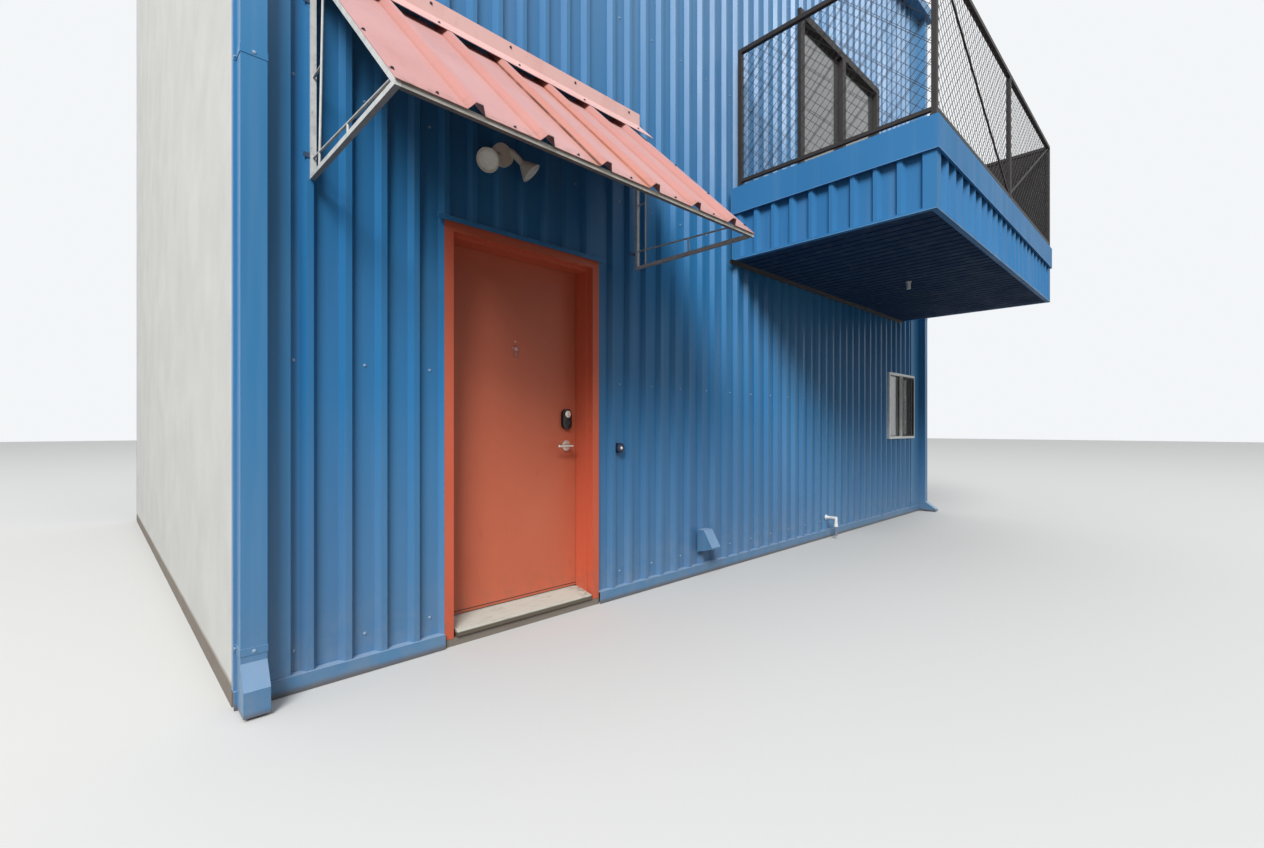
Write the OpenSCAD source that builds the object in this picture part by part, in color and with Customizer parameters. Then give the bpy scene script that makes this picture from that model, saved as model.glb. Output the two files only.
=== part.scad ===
// Two-storey cabin clad in ribbed blue steel, at the end of a row.
// X runs along the front wall, Y into the building, Z up. The drawing's own zero is the left end
// of the front wall, on the outer face of its flat pans, at ground level; placed() moves it so
// that the origin is the middle of the footprint.

/* [Building] */
// Length of the front wall
wall_l = 7650; // [7600:10:9500]
// Depth from the front wall to the rear wall
wall_d = 6100; // [4800:50:9000]
// Height of the roof deck's underside at the front wall
eave_h = 6500; // [6200:50:7600]
// Rise of the roof from the front wall to the rear wall
roof_rise = 500; // [200:25:900]
// Thickness of the roof deck
roof_t = 160; // [100:5:300]
// Thickness of the outside walls behind the cladding
wall_t = 162; // [145:1:300]
// Thickness of the plain party wall
party_t = 150; // [100:5:300]
// Thickness of the ground slab
slab_t = 100; // [85:5:200]
// Height of the upper floor's top face
upper_z = 3050; // [2900:10:3300]
// Thickness of the upper floor
upper_t = 280; // [150:10:400]

/* [Cladding] */
// Thickness of the cladding sheet as drawn
sheet_t = 3; // [2:0.5:6]
// Distance from rib to rib
rib_pitch = 152.4; // [120:0.1:220]
// Height of a rib above the pan
rib_h = 32; // [15:1:45]
// Width of a rib's flat top
rib_top = 26; // [15:1:40]
// Width of one sloping side of a rib
rib_side = 20; // [8:1:25]
// Distance from the left end to the first rib
first_rib = 235; // [200:1:300]
// Distance from the door frame to the first rib right of it
second_rib = 94; // [20:1:150]
// Width of the flat trim at the left end of the front
left_trim_w = 195; // [120:5:230]
// Width of the flat trim at the right end of the front
right_trim_w = 410; // [120:10:450]
// Width of the corner trims on the other sides
side_trim_w = 120; // [80:5:250]
// Height of the base trim
base_h = 75; // [50:1:84]
// Projection of the base trim from the pans
base_out = 44; // [34:1:80]
// Distance from rib to rib on the roof sheet
roof_pitch = 305; // [200:1:400]
// Height of the ribs on the awning and roof sheets
wide_rib_h = 30; // [15:1:40]

/* [Front door] */
// Distance from the left end to the door frame
door_x = 864; // [500:1:1200]
// Width over the door frame
frame_w = 1016; // [900:1:1300]
// Height of the door frame's top above the ground
frame_z = 2142; // [2000:1:2400]
// Width of the door frame's face
frame_face = 50; // [35:1:80]
// Depth of the door stop's step into the opening
stop_in = 16; // [8:1:25]
// Projection of the door frame from the pans
frame_out = 30; // [10:1:60]
// Thickness of the door leaf
leaf_t = 45; // [35:1:60]
// Gap between the leaf and the frame at the hinges and the head
leaf_gap = 5; // [5:0.5:10]
// Gap between the leaf and the frame at the lock side
lock_gap = 8; // [8:0.5:12]
// Height of the frame's foot above the ground
frame_foot = 40; // [20:1:60]
// Height of the lever above the ground
lever_z = 990; // [800:5:1200]
// Distance from the leaf's lock edge to the lever's axis
backset = 90; // [60:1:120]
// Distance from the lever's axis up to the deadbolt
bolt_up = 165; // [130:5:300]
// Length of the lever
lever_l = 100; // [80:1:160]

/* [Awning] */
// Distance from the left end to the awning sheet
awning_x = 266; // [100:1:600]
// Width of the awning sheet
awning_w = 1950; // [1500:10:2600]
// Projection of the awning from the rib tops
awning_p = 910; // [600:10:1100]
// Height of the awning frame's underside
awning_z = 2150; // [2146:1:2500]
// Rise of the awning's slope
awning_rise = 900; // [700:10:1200]
// Side of the awning's square tubes
tube = 20; // [15:1:40]
// Distance from the awning's left end to its first rib
awning_rib = 239; // [60:1:260]
// Distance from rib to rib on the awning sheet
awning_pitch = 292; // [200:1:400]

/* [Balcony] */
// Distance from the right end to the balcony
balcony_in = 722; // [150:1:900]
// Length of the balcony
balcony_l = 3641; // [3200:1:4200]
// Projection of the balcony from the pans
balcony_p = 1539; // [1000:1:2000]
// Height of the balcony's underside
balcony_z = 2441; // [2350:1:2700]
// Height of the balcony's top edge
balcony_top = 3010; // [2960:1:3300]
// Height of the flat band along the balcony's top edge
band_h = 209; // [120:1:300]
// Thickness of the flat band
band_t = 15; // [10:1:80]
// Height of the railing's top above the balcony's top edge
rail_h = 1090; // [900:10:1300]
// Side of the railing's posts and top rail
post = 32; // [25:1:60]
// Height of the gap under the railing's bottom rail
rail_gap = 35; // [20:1:100]
// Gap between the wall and the side railings' last posts
rail_wall_gap = 60; // [20:5:150]
// Distance between the railing mesh's main wires
mesh_pitch = 300; // [150:5:400]
// Width of the railing mesh's wires
wire = 3; // [2:0.5:8]

/* [Windows] */
// Distance from the balcony's near end to the patio door
patio_in = 1098; // [400:1:1500]
// Width of the patio door
patio_w = 1830; // [1500:10:2200]
// Height of the patio door above the upper floor
patio_h = 2010; // [1900:10:2400]
// Distance from the right end to the front window
window_in = 290; // [200:10:1200]
// Width of a window
window_w = 840; // [500:10:860]
// Height of a window
window_h = 811; // [500:1:1200]
// Height of a window's sill above the ground
window_z = 967; // [800:1:1300]
// Distance from the ends of the rear wall to its windows
rear_window_in = 1500; // [600:10:2400]
// Width of a window frame's bars
window_bar = 30; // [20:1:60]
// Depth of a window frame
window_d = 90; // [50:1:120]
// Thickness of the window glass
glass_t = 10; // [6:1:20]

/* [Fittings] */
// Width of a downspout
spout_w = 88; // [70:1:130]
// Depth of a downspout
spout_d = 80; // [50:1:110]
// Distance from the left end to the left downspout
spout_left_x = 10; // [10:1:40]
// Distance from the right end to the right downspout
spout_right_in = 135; // [130:5:300]
// Width of the gutter
gutter_w = 130; // [110:5:200]
// Height of the gutter
gutter_h = 130; // [90:5:200]
// Distance from the left end to the floodlight
flood_x = 1184; // [900:1:1500]
// Height of the floodlight
flood_z = 2563; // [2400:1:2900]
// Distance from the left end to the vent hood
vent_x = 2851; // [2500:1:3300]
// Width of the vent hood
vent_w = 101; // [80:1:200]
// Distance from the left end to the drain pipe
drain_x = 4890; // [4000:10:5000]

/* [Hidden] */
$fn = 32;

// Clearance between sloping faces that bear on each other
seat = 0.3;

// Inner face of the outside walls
wall_in = sheet_t + wall_t;
// Right face of the wall cores
core_l = wall_l - sheet_t;
core_d = wall_d - sheet_t;
rib_base = rib_top + 2 * rib_side;
roof_angle = atan(roof_rise / wall_d);
roof_top = eave_h + roof_t;
front_clad_top = roof_top - 8;
rear_clad_top = roof_z(wall_d - sheet_t) + roof_t;

// Door
door_r = door_x + frame_w;
head_cap_h = 23;
head_cap_out = 22;
head_cap_side = 40;
head_top = frame_z + head_cap_h;
leaf_x = door_x + frame_face + leaf_gap;
leaf_w = frame_w - 2 * frame_face - leaf_gap - lock_gap;
leaf_y = wall_in - leaf_t;
leaf_clear = 6;
stop_gap = 5;
stop_face = leaf_y - stop_gap;
leaf_z = slab_t + leaf_clear;
leaf_h = frame_z - frame_face - leaf_gap - leaf_z;
stop_y = 15;
knuckle_r = 8;
pin_r = 4;
pin_fit = 0.3;
hinge_x = leaf_x - leaf_gap / 2;
hinge_y = wall_in + knuckle_r + 1;
hinge_h = 110;
hinge_plate_w = 34;
hinge_plate_t = 3;
hinge_end = 180;
hinge_zs = [leaf_z + hinge_end, leaf_z + leaf_h / 2, leaf_z + leaf_h - hinge_end];
lever_x = leaf_x + leaf_w - backset;
spindle_r = 9;
spindle_fit = 0.3;
rose_r = 33;
rose_t = 12;
lever_out = 70;
lever_r = 9;
bolt_r = 33;
bolt_gap = 62;
bolt_out = 24;
bolt_cap_r = 22;
bolt_cap_out = 6;
thumb_turn = [10, 30, 40];

// Awning
awning_y = -rib_h - awning_p;
awning_angle = atan(awning_rise / awning_p);
awning_len = sqrt(awning_rise * awning_rise + awning_p * awning_p);
awning_drip = 8;
bracket_rx = awning_x + awning_w - tube;
rod_r = 5;
cap_len = 150;
cap_leg = 80;
cap_side = 20;
tab_t = 4;
tab_h = 20;
tab_in = 90;

// Balcony
balcony_r = wall_l - balcony_in;
balcony_x = balcony_r - balcony_l;
deck_t = 35;
deck_down = 25;
deck_z = balcony_top - deck_down;
soffit_t = 15;
groove_pitch = 100;
groove_h = 8;
lining = rib_h + sheet_t;
drip_h = 18;
joist = 40;
joist_h = 240;
joist_n = 9;
rail_z = balcony_top + rail_h;
bottom_rail = 25;
brace_t = 12;

// Windows
patio_x = balcony_x + patio_in;
patio_r = patio_x + patio_w;
patio_top = upper_z + patio_h;
patio_bar = 75;
patio_d = 110;
window_r = wall_l - window_in;
window_x = window_r - window_w;
window_top = window_z + window_h;
window_out = 34;
upper_window_z = window_z + upper_z - slab_t;
rear_left = rear_window_in;
rear_right = wall_l - rear_window_in - window_w;

blue = [0.24, 0.44, 0.66];
dark_blue = [0.08, 0.12, 0.22];
terracotta = [0.74, 0.36, 0.28];
frame_red = [0.80, 0.34, 0.24];
salmon = [0.86, 0.55, 0.52];
concrete = [0.72, 0.69, 0.64];
plaster = [0.86, 0.85, 0.82];
pale_steel = [0.75, 0.74, 0.72];
bronze = [0.17, 0.15, 0.15];
vinyl = [0.90, 0.90, 0.88];
pane = [0.62, 0.70, 0.74, 0.5];

// Moves the drawing's zero to the middle of the footprint.
module placed() {
    translate([-wall_l / 2, -wall_d / 2, 0]) children();
}

// Underside of the roof deck at depth y.
function roof_z(y) = eave_h + roof_rise * y / wall_d;

// A block between two corners.
module block(low, high) {
    translate(low) cube(high - low);
}

// Outer line of a ribbed sheet of the given length, with ribs towards -Y.
function rib_line(length, first, pitch, h, top, side) = [
    for (i = [0 : floor((length - first - top - 2 * side) / pitch)])
        let (x = first + i * pitch)
        each [[x, 0], [x + side, -h], [x + side + top, -h], [x + 2 * side + top, 0]]
];

function reversed(points) = [for (i = [len(points) - 1 : -1 : 0]) points[i]];

function shifted(points, dx, dy) = [for (p = points) [p[0] + dx, p[1] + dy]];

// Cross-section of a ribbed sheet with a pan at each end.
function sheet_section(length, first, pitch, h, top, side) =
    let (line = concat([[0, 0]], rib_line(length, first, pitch, h, top, side), [[length, 0]]))
    concat(line, reversed(shifted(line, 0, sheet_t)));

module ribbed_wall(length, height, first) {
    linear_extrude(height)
        polygon(sheet_section(length, first, rib_pitch, rib_h, rib_top, rib_side));
}

module wide_sheet(length, height, first, pitch) {
    linear_extrude(height)
        polygon(sheet_section(length, first, pitch, wide_rib_h, rib_top, rib_side));
}

// Extrudes a profile drawn as [y, z] points along X from x0 to x1.
module along_x(x0, x1) {
    translate([x0, 0, 0]) rotate([90, 0, 90]) linear_extrude(x1 - x0) children();
}

// A stretch of wall core under the sloping roof.
module core_to_roof(x0, x1, y0, y1, z0) {
    along_x(x0, x1)
        polygon([[y0, z0], [y1, z0], [y1, roof_z(y1) - seat], [y0, roof_z(y0) - seat]]);
}

// Floors and roof

module floor_slab() {
    color(concrete) placed() {
        difference() {
            block([0, sheet_t, 0], [core_l, core_d, slab_t]);
            block([door_x, 0, frame_foot], [door_r, wall_in, slab_t + 1]);
        }
        block([door_x, 2 - frame_out, 0], [door_r, sheet_t + 1, frame_foot]);
    }
}

module upper_floor() {
    color(concrete) placed()
        block([party_t, wall_in, upper_z - upper_t],
              [wall_l - wall_in, wall_d - wall_in, upper_z]);
}

module roof_deck() {
    color(plaster) placed()
        along_x(0, core_l) polygon([
            [sheet_t, roof_z(sheet_t)],
            [core_d, roof_z(core_d)],
            [core_d, roof_z(core_d) + roof_t],
            [sheet_t, roof_z(sheet_t) + roof_t]
        ]);
}

// The roof's frame: Y up the slope, Z out of the roof, zero at the front pans.
module on_roof() {
    placed() translate([0, 0, roof_top + seat]) rotate([roof_angle, 0, 0]) children();
}

roof_front_over = 70;
roof_rear_over = rib_h;
roof_len = (wall_d + roof_front_over + roof_rear_over) / cos(roof_angle);

module roof_sheet() {
    color(pale_steel) on_roof()
        translate([0, -roof_front_over / cos(roof_angle), sheet_t]) rotate([-90, 0, 0])
            wide_sheet(wall_l + rib_h, roof_len, roof_pitch / 2, roof_pitch);
}

rake_leg = 130;
rake_lap = 110;

module roof_trim() {
    rib_top_z = sheet_t + wide_rib_h;
    color(blue) {
        on_roof() {
            block([wall_l - rake_lap, -roof_front_over, rib_top_z],
                  [wall_l + rib_h + sheet_t, roof_len - roof_front_over, rib_top_z + sheet_t]);
            block([wall_l + rib_h, -rib_h, -rake_leg],
                  [wall_l + rib_h + sheet_t, roof_len - roof_front_over, rib_top_z + 1]);
        }
        placed() {
            rear_z = roof_top + roof_rise + rib_top_z;
            block([0, wall_d + rib_h, rear_clad_top - rake_leg],
                  [wall_l + rib_h + sheet_t, wall_d + rib_h + sheet_t, rear_z]);
        }
    }
}

gutter_top = roof_top - 8;
gutter_t = 4;

module gutter() {
    back = -rib_h;
    front = back - gutter_w;
    low = gutter_top - gutter_h;
    color(blue) placed() {
        along_x(0, wall_l + rib_h) polygon([
            [back, gutter_top],
            [back, low],
            [front, low],
            [front, gutter_top],
            [front + 2 * gutter_t, gutter_top],
            [front + gutter_t, gutter_top - gutter_t],
            [front + gutter_t, low + gutter_t],
            [back - gutter_t, low + gutter_t],
            [back - gutter_t, gutter_top]
        ]);
        for (x = [0, wall_l + rib_h - gutter_t])
            block([x, front, low], [x + gutter_t, back, gutter_top]);
    }
}

// Wall cores

module front_wall_left() {
    color(plaster) placed() block([0, sheet_t, slab_t], [door_x, wall_in, upper_z]);
}

module front_wall_over_door() {
    color(plaster) placed() block([door_x, sheet_t, frame_z], [door_r, wall_in, upper_z]);
}

module front_wall_middle() {
    color(plaster) placed() block([door_r, sheet_t, slab_t], [window_x, wall_in, upper_z]);
}

module front_wall_window_panels() {
    color(plaster) placed() {
        block([window_x, sheet_t, slab_t], [window_r, wall_in, window_z]);
        block([window_x, sheet_t, window_top], [window_r, wall_in, upper_z]);
    }
}

module front_wall_right() {
    color(plaster) placed() block([window_r, sheet_t, slab_t], [core_l, wall_in, upper_z]);
}

module upper_wall_left() {
    color(plaster) placed() core_to_roof(0, patio_x, sheet_t, wall_in, upper_z);
}

module upper_wall_over_patio_door() {
    color(plaster) placed() core_to_roof(patio_x, patio_r, sheet_t, wall_in, patio_top);
}

module upper_wall_right() {
    color(plaster) placed() core_to_roof(patio_r, core_l, sheet_t, wall_in, upper_z);
}

module party_wall() {
    color(plaster) placed() core_to_roof(0, party_t, wall_in, wall_d - wall_in, slab_t);
}

module end_wall() {
    color(plaster) placed()
        core_to_roof(wall_l - wall_in, core_l, wall_in, wall_d - wall_in, slab_t);
}

module rear_wall_piers() {
    ends = [[0, rear_left], [rear_left + window_w, rear_right], [rear_right + window_w, core_l]];
    color(plaster) placed()
        for (e = ends) core_to_roof(e[0], e[1], wall_d - wall_in, core_d, slab_t);
}

module rear_wall_panels() {
    y0 = wall_d - wall_in;
    color(plaster) placed()
        for (x = [rear_left, rear_right]) {
            block([x, y0, slab_t], [x + window_w, core_d, window_z]);
            block([x, y0, window_top], [x + window_w, core_d, upper_window_z]);
            core_to_roof(x, x + window_w, y0, core_d, upper_window_z + window_h);
        }
}

// Cladding

// The hole of one window through cladding, frame and core, in the front wall.
module window_hole(x, z, w, h) {
    block([x, -rib_h - 1, z], [x + w, sheet_t + 1, z + h]);
}

module front_cladding_left() {
    color(blue) placed() difference() {
        translate([left_trim_w, 0, base_h])
            ribbed_wall(door_r - left_trim_w, front_clad_top - base_h, first_rib - left_trim_w);
        window_hole(door_x, base_h - 1, frame_w + 1, head_top - base_h + 1);
    }
}

module front_cladding_right() {
    color(blue) placed() difference() {
        translate([door_r, 0, base_h])
            ribbed_wall(wall_l - right_trim_w - door_r, front_clad_top - base_h, second_rib);
        window_hole(patio_x, upper_z, patio_w, patio_h);
        window_hole(window_x, window_z, window_w, window_h);
    }
}

module end_cladding() {
    length = wall_d - 2 * side_trim_w;
    color(blue) placed() intersection() {
        translate([wall_l, side_trim_w, base_h]) rotate([0, 0, 90])
            ribbed_wall(length, rear_clad_top - base_h, side_trim_w);
        along_x(wall_l - wall_in, wall_l + 2 * rib_h) polygon([
            [0, base_h],
            [wall_d, base_h],
            [wall_d, roof_z(wall_d) + roof_t - seat],
            [0, roof_z(0) + roof_t - seat]
        ]);
    }
}

module rear_cladding() {
    length = wall_l - side_trim_w;
    color(blue) placed() difference() {
        translate([length, wall_d, base_h]) rotate([0, 0, 180])
            ribbed_wall(length - side_trim_w, rear_clad_top - base_h, side_trim_w);
        for (x = [rear_left, rear_right], z = [window_z, upper_window_z])
            translate([0, wall_d, 0]) mirror([0, 1, 0]) window_hole(x, z, window_w, window_h);
    }
}

// A flat trim as deep as the ribs, along X from 0 to w.
module flat_trim(w, h) {
    linear_extrude(h) polygon([
        [0, sheet_t], [0, -rib_h], [w, -rib_h], [w, sheet_t],
        [w - sheet_t, sheet_t], [w - sheet_t, sheet_t - rib_h],
        [sheet_t, sheet_t - rib_h], [sheet_t, sheet_t]
    ]);
}

// A corner trim as deep as the ribs, with legs a along -X and b along +Y from the corner.
module corner_trim(a, b, h) {
    linear_extrude(h) polygon([
        [-a, sheet_t], [-a, -rib_h], [rib_h, -rib_h], [rib_h, b], [-sheet_t, b],
        [-sheet_t, b - sheet_t], [rib_h - sheet_t, b - sheet_t],
        [rib_h - sheet_t, sheet_t - rib_h], [sheet_t - a, sheet_t - rib_h], [sheet_t - a, sheet_t]
    ]);
}

module corner_trims() {
    front_h = front_clad_top - base_h;
    rear_h = rear_clad_top - base_h;
    color(blue) placed() difference() {
        translate([0, 0, base_h]) {
            flat_trim(left_trim_w, front_h);
            translate([wall_l, 0, 0]) corner_trim(right_trim_w, side_trim_w, front_h);
            translate([wall_l, wall_d, 0]) mirror([0, 1, 0])
                corner_trim(side_trim_w, side_trim_w, rear_h - 12);
            translate([side_trim_w, wall_d, 0]) rotate([0, 0, 180])
                flat_trim(side_trim_w, rear_h);
        }
        window_hole(window_x, window_z, window_w, window_h);
    }
}

base_gap = 3;

// Profile of the base trim as [distance out, height] points.
module base_profile() {
    polygon([
        [base_out, base_gap], [base_out, base_h], [-sheet_t, base_h],
        [-sheet_t, base_h - sheet_t], [base_out - sheet_t, base_h - sheet_t],
        [base_out - sheet_t, base_gap]
    ]);
}

// Base trim along X from 0 to length, facing -Y.
module base_run(length) {
    rotate([90, 0, 90]) linear_extrude(length) mirror([1, 0]) base_profile();
}

module base_trim() {
    color(blue) placed() {
        base_run(door_x);
        translate([door_r, 0, 0]) base_run(wall_l + base_out - door_r);
        translate([wall_l, -base_out, 0]) rotate([0, 0, 90]) base_run(wall_d + 2 * base_out);
        translate([wall_l + base_out, wall_d, 0]) rotate([0, 0, 180])
            base_run(wall_l + base_out);
    }
}

// Downspouts

strap_t = 2;
strap_h = 28;
strap_side = 10;
strap_zs = [228, 2533, 4700];
elbow_drop = 90;
foot_z = 12;
mouth_h = 15;
mouth_wall = 5;
heel_gap = 1;

// A downspout with its straps, and a foot that kicks out below the height given.
module downspout(x, elbow_z, kick) {
    back = -rib_h;
    front = back - spout_d;
    toe = front - kick;
    heel = -base_out - heel_gap;
    color(blue) placed() difference() {
        union() {
            along_x(x, x + spout_w) polygon([
                [back, gutter_top - gutter_h], [front, gutter_top - gutter_h], [front, elbow_z],
                [toe, elbow_z - elbow_drop], [toe, foot_z], [heel, foot_z],
                [heel, base_h + heel_gap], [back, base_h + heel_gap]
            ]);
            for (z = strap_zs) {
                block([x - strap_t, front - strap_t, z], [x + spout_w + strap_t, back, z + strap_h]);
                block([x - strap_side, back - strap_t, z],
                      [x + spout_w + strap_side, back, z + strap_h]);
            }
        }
        block([x + mouth_wall, toe + mouth_wall, foot_z - 1],
              [x + spout_w - mouth_wall, heel - mouth_wall, foot_z + mouth_h]);
    }
}

module downspout_left() { downspout(spout_left_x, 200, 60); }

module downspout_right() { downspout(wall_l - spout_right_in, 125, 130); }

// Front door

// Plan of one jamb, on the left side of the opening.
module jamb_plan() {
    polygon([
        [0, -frame_out], [frame_face, -frame_out], [frame_face, stop_y],
        [frame_face + stop_in, stop_y], [frame_face + stop_in, stop_face],
        [frame_face, stop_face], [frame_face, wall_in], [0, wall_in]
    ]);
}

module door_frame() {
    color(frame_red) placed() {
        translate([door_x, 0, frame_foot]) linear_extrude(frame_z - frame_foot) jamb_plan();
        translate([door_r, 0, frame_foot]) mirror([1, 0, 0])
            linear_extrude(frame_z - frame_foot) jamb_plan();
        along_x(door_x + frame_face / 2, door_r - frame_face / 2)
            translate([0, frame_z]) rotate(-90) jamb_plan();
    }
}

module door_sill() {
    low = frame_foot;
    lip = low + 30;
    out = -frame_out - 10;
    color(pale_steel) placed() {
        along_x(door_x + frame_face + stop_in, door_r - frame_face - stop_in) polygon([
            [sheet_t - frame_out, low], [out, low + 6], [out, lip], [out + 4, lip + 3],
            [stop_face - 10, slab_t], [wall_in, slab_t], [wall_in, low]
        ]);
        block([door_x + frame_face, stop_face, low], [door_r - frame_face, wall_in, slab_t]);
    }
}

module door_head_cap() {
    color(blue) placed() {
        block([door_x, -rib_h - 1, frame_z], [door_r, sheet_t, head_top]);
        along_x(door_x - head_cap_side, door_r + head_cap_side) polygon([
            [-rib_h, head_top], [-rib_h - head_cap_out, head_top - 10],
            [-rib_h - head_cap_out, frame_z - 10], [-rib_h - head_cap_out + sheet_t, frame_z - 10],
            [-rib_h - head_cap_out + sheet_t, frame_z], [-rib_h, frame_z]
        ]);
    }
}

// Fixed halves of the hinges: a plate on the jamb and a pin with two end knuckles.
module hinge_frame_halves() {
    third = hinge_h / 3;
    color(pale_steel) placed()
        for (z = hinge_zs) translate([hinge_x, 0, z - hinge_h / 2]) {
            translate([0, hinge_y, 0]) cylinder(r = pin_r, h = hinge_h);
            for (dz = [0, 2 * third]) {
                translate([0, hinge_y, dz]) cylinder(r = knuckle_r, h = third);
                block([-hinge_plate_w, wall_in, dz], [0, wall_in + hinge_plate_t, dz + third]);
            }
            block([-hinge_plate_w, wall_in, 0], [-knuckle_r - 2, wall_in + hinge_plate_t, hinge_h]);
        }
}

module door_leaf() {
    color(terracotta) placed() difference() {
        block([leaf_x, leaf_y, leaf_z], [leaf_x + leaf_w, wall_in, leaf_z + leaf_h]);
        for (z = [lever_z, lever_z + bolt_up])
            translate([lever_x, leaf_y - 1, z]) rotate([-90, 0, 0])
                cylinder(r = spindle_r + spindle_fit, h = leaf_t + 2);
    }
}

// Moving halves of the hinges: a plate on the leaf and the middle knuckle round the pin.
module hinge_leaf_halves() {
    third = hinge_h / 3;
    gap = 1;
    color(pale_steel) placed()
        for (z = hinge_zs) translate([hinge_x, 0, z - hinge_h / 2]) {
            difference() {
                union() {
                    translate([0, hinge_y, third + gap])
                        cylinder(r = knuckle_r, h = third - 2 * gap);
                    block([0, wall_in, third + gap],
                          [hinge_plate_w, wall_in + hinge_plate_t, 2 * third - gap]);
                }
                translate([0, hinge_y, 0]) cylinder(r = pin_r + pin_fit, h = hinge_h);
            }
            block([knuckle_r + 2, wall_in, 0],
                  [hinge_plate_w, wall_in + hinge_plate_t, hinge_h]);
        }
}

// A tall oval keypad housing outside, with a turn inside.
module door_deadbolt() {
    color([0.06, 0.06, 0.07]) placed() translate([lever_x, 0, lever_z + bolt_up]) {
        translate([0, leaf_y, 0]) rotate([90, 0, 0]) {
            linear_extrude(bolt_out) square([2 * bolt_r, bolt_gap], center = true);
            for (s = [-1, 1]) translate([0, s * bolt_gap / 2, 0]) cylinder(r = bolt_r, h = bolt_out);
            translate([0, bolt_gap / 2, 0]) cylinder(r = bolt_cap_r, h = bolt_out + bolt_cap_out);
        }
        translate([0, leaf_y - 1, 0]) rotate([-90, 0, 0]) cylinder(r = spindle_r, h = leaf_t + 2);
        translate([0, wall_in, 0]) rotate([-90, 0, 0]) cylinder(r = rose_r, h = rose_t);
        translate([-thumb_turn[0] / 2, wall_in, -thumb_turn[2] / 2]) cube(thumb_turn);
    }
}

// One rose on each face of the leaf, with a hole for the lever's neck.
module lever_roses() {
    color(pale_steel) placed() translate([lever_x, 0, lever_z])
        for (y = [leaf_y - rose_t, wall_in]) translate([0, y, 0]) rotate([-90, 0, 0])
            difference() {
                cylinder(r = rose_r, h = rose_t);
                translate([0, 0, -1]) cylinder(r = spindle_r + spindle_fit, h = rose_t + 2);
            }
}

viewer_z = 1557;

module door_viewer() {
    color(pale_steel) placed() translate([leaf_x + leaf_w / 2, leaf_y, viewer_z]) {
        rotate([90, 0, 0]) cylinder(r = 16, h = 6);
        block([-13, -4, -46], [13, 0, -10]);
    }
}

// A lever on each side of the leaf, on one spindle.
module door_lever() {
    out_y = leaf_y - lever_out;
    in_y = wall_in + lever_out;
    color(pale_steel) placed() translate([lever_x, 0, lever_z]) {
        translate([0, out_y, 0]) rotate([-90, 0, 0]) cylinder(r = spindle_r, h = in_y - out_y);
        for (y = [out_y, in_y]) {
            translate([0, y, 0]) rotate([0, -90, 0]) cylinder(r = lever_r, h = lever_l);
            translate([0, y, 0]) sphere(r = lever_r);
            translate([-lever_l, y, 0]) sphere(r = lever_r);
        }
    }
}

// Awning

function slope_point(s, out) = [
    awning_y + s * cos(awning_angle) - out * sin(awning_angle),
    awning_z + tube + s * sin(awning_angle) + out * cos(awning_angle)
];

// A round rod between two [y, z] points in the YZ plane.
module rod_between(p, q) {
    run = q - p;
    translate([0, p[0], p[1]]) rotate([atan2(-run[0], run[1]), 0, 0])
        cylinder(r = rod_r, h = norm(run));
}

// A bracket: wall leg, arm and sloping member in one, with two tabs that reach a rib of the wall.
// A rod stands off the leg by leg_rod at its foot and head, and one off the arm by arm_rod at the
// wall and at the front.
module awning_bracket(x, tab_w, leg_rod, arm_rod) {
    back = -rib_h;
    leg_y = back - tube;
    arm_z = awning_z + tube;
    foot_y = awning_y + tube / sin(awning_angle);
    top_z = arm_z + (leg_y - foot_y) * tan(awning_angle);
    bite = 2;
    leg_rod_top = arm_z + (leg_y - leg_rod[1] - foot_y) * tan(awning_angle) + bite;
    arm_rod_y = foot_y + arm_rod[1] / tan(awning_angle) - bite;
    tie_y = (leg_y + foot_y) / 2;
    tie_top = arm_z + (arm_rod[0] + arm_rod[1]) / 2;
    leg_tie_z = arm_z + awning_rise * 0.45;
    leg_tie_y = leg_y - (leg_rod[0] + leg_rod[1]) / 2;
    color(pale_steel) placed() {
        along_x(x, x + tube) difference() {
            polygon([
                [back, awning_z], [awning_y, awning_z], [awning_y, arm_z],
                [back, arm_z + awning_rise]
            ]);
            polygon([[leg_y, arm_z], [foot_y, arm_z], [leg_y, top_z]]);
        }
        translate([x + tube / 2, 0, 0]) {
            rod_between([leg_y - leg_rod[0], arm_z - bite], [leg_y - leg_rod[1], leg_rod_top]);
            rod_between([leg_y + bite, arm_z + arm_rod[0]], [arm_rod_y, arm_z + arm_rod[1]]);
            rod_between([tie_y, arm_z - bite], [tie_y, tie_top]);
            rod_between([leg_y + bite, leg_tie_z], [leg_tie_y, leg_tie_z]);
        }
        for (z = [awning_z + tab_in, arm_z + awning_rise - 2 * tab_in])
            block([x - tab_w, back - tab_t, z], [x + bite, back, z + tab_h]);
    }
}

module awning_bracket_left() { awning_bracket(awning_x, 25, [80, 130], [66, 22]); }

module awning_bracket_right() { awning_bracket(bracket_rx, 50, [66, 66], [100, 70]); }

module awning_front_tube() {
    color(pale_steel) placed()
        block([awning_x + tube, awning_y, awning_z], [bracket_rx, awning_y + tube, awning_z + tube]);
}

module awning_sheet() {
    color(salmon) placed() translate([awning_x, awning_y, awning_z + tube])
        rotate([awning_angle - 90, 0, 0]) translate([0, -sheet_t - seat, -awning_drip])
            wide_sheet(awning_w, awning_len + awning_drip - rib_h / 2, awning_rib, awning_pitch);
}

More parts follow.
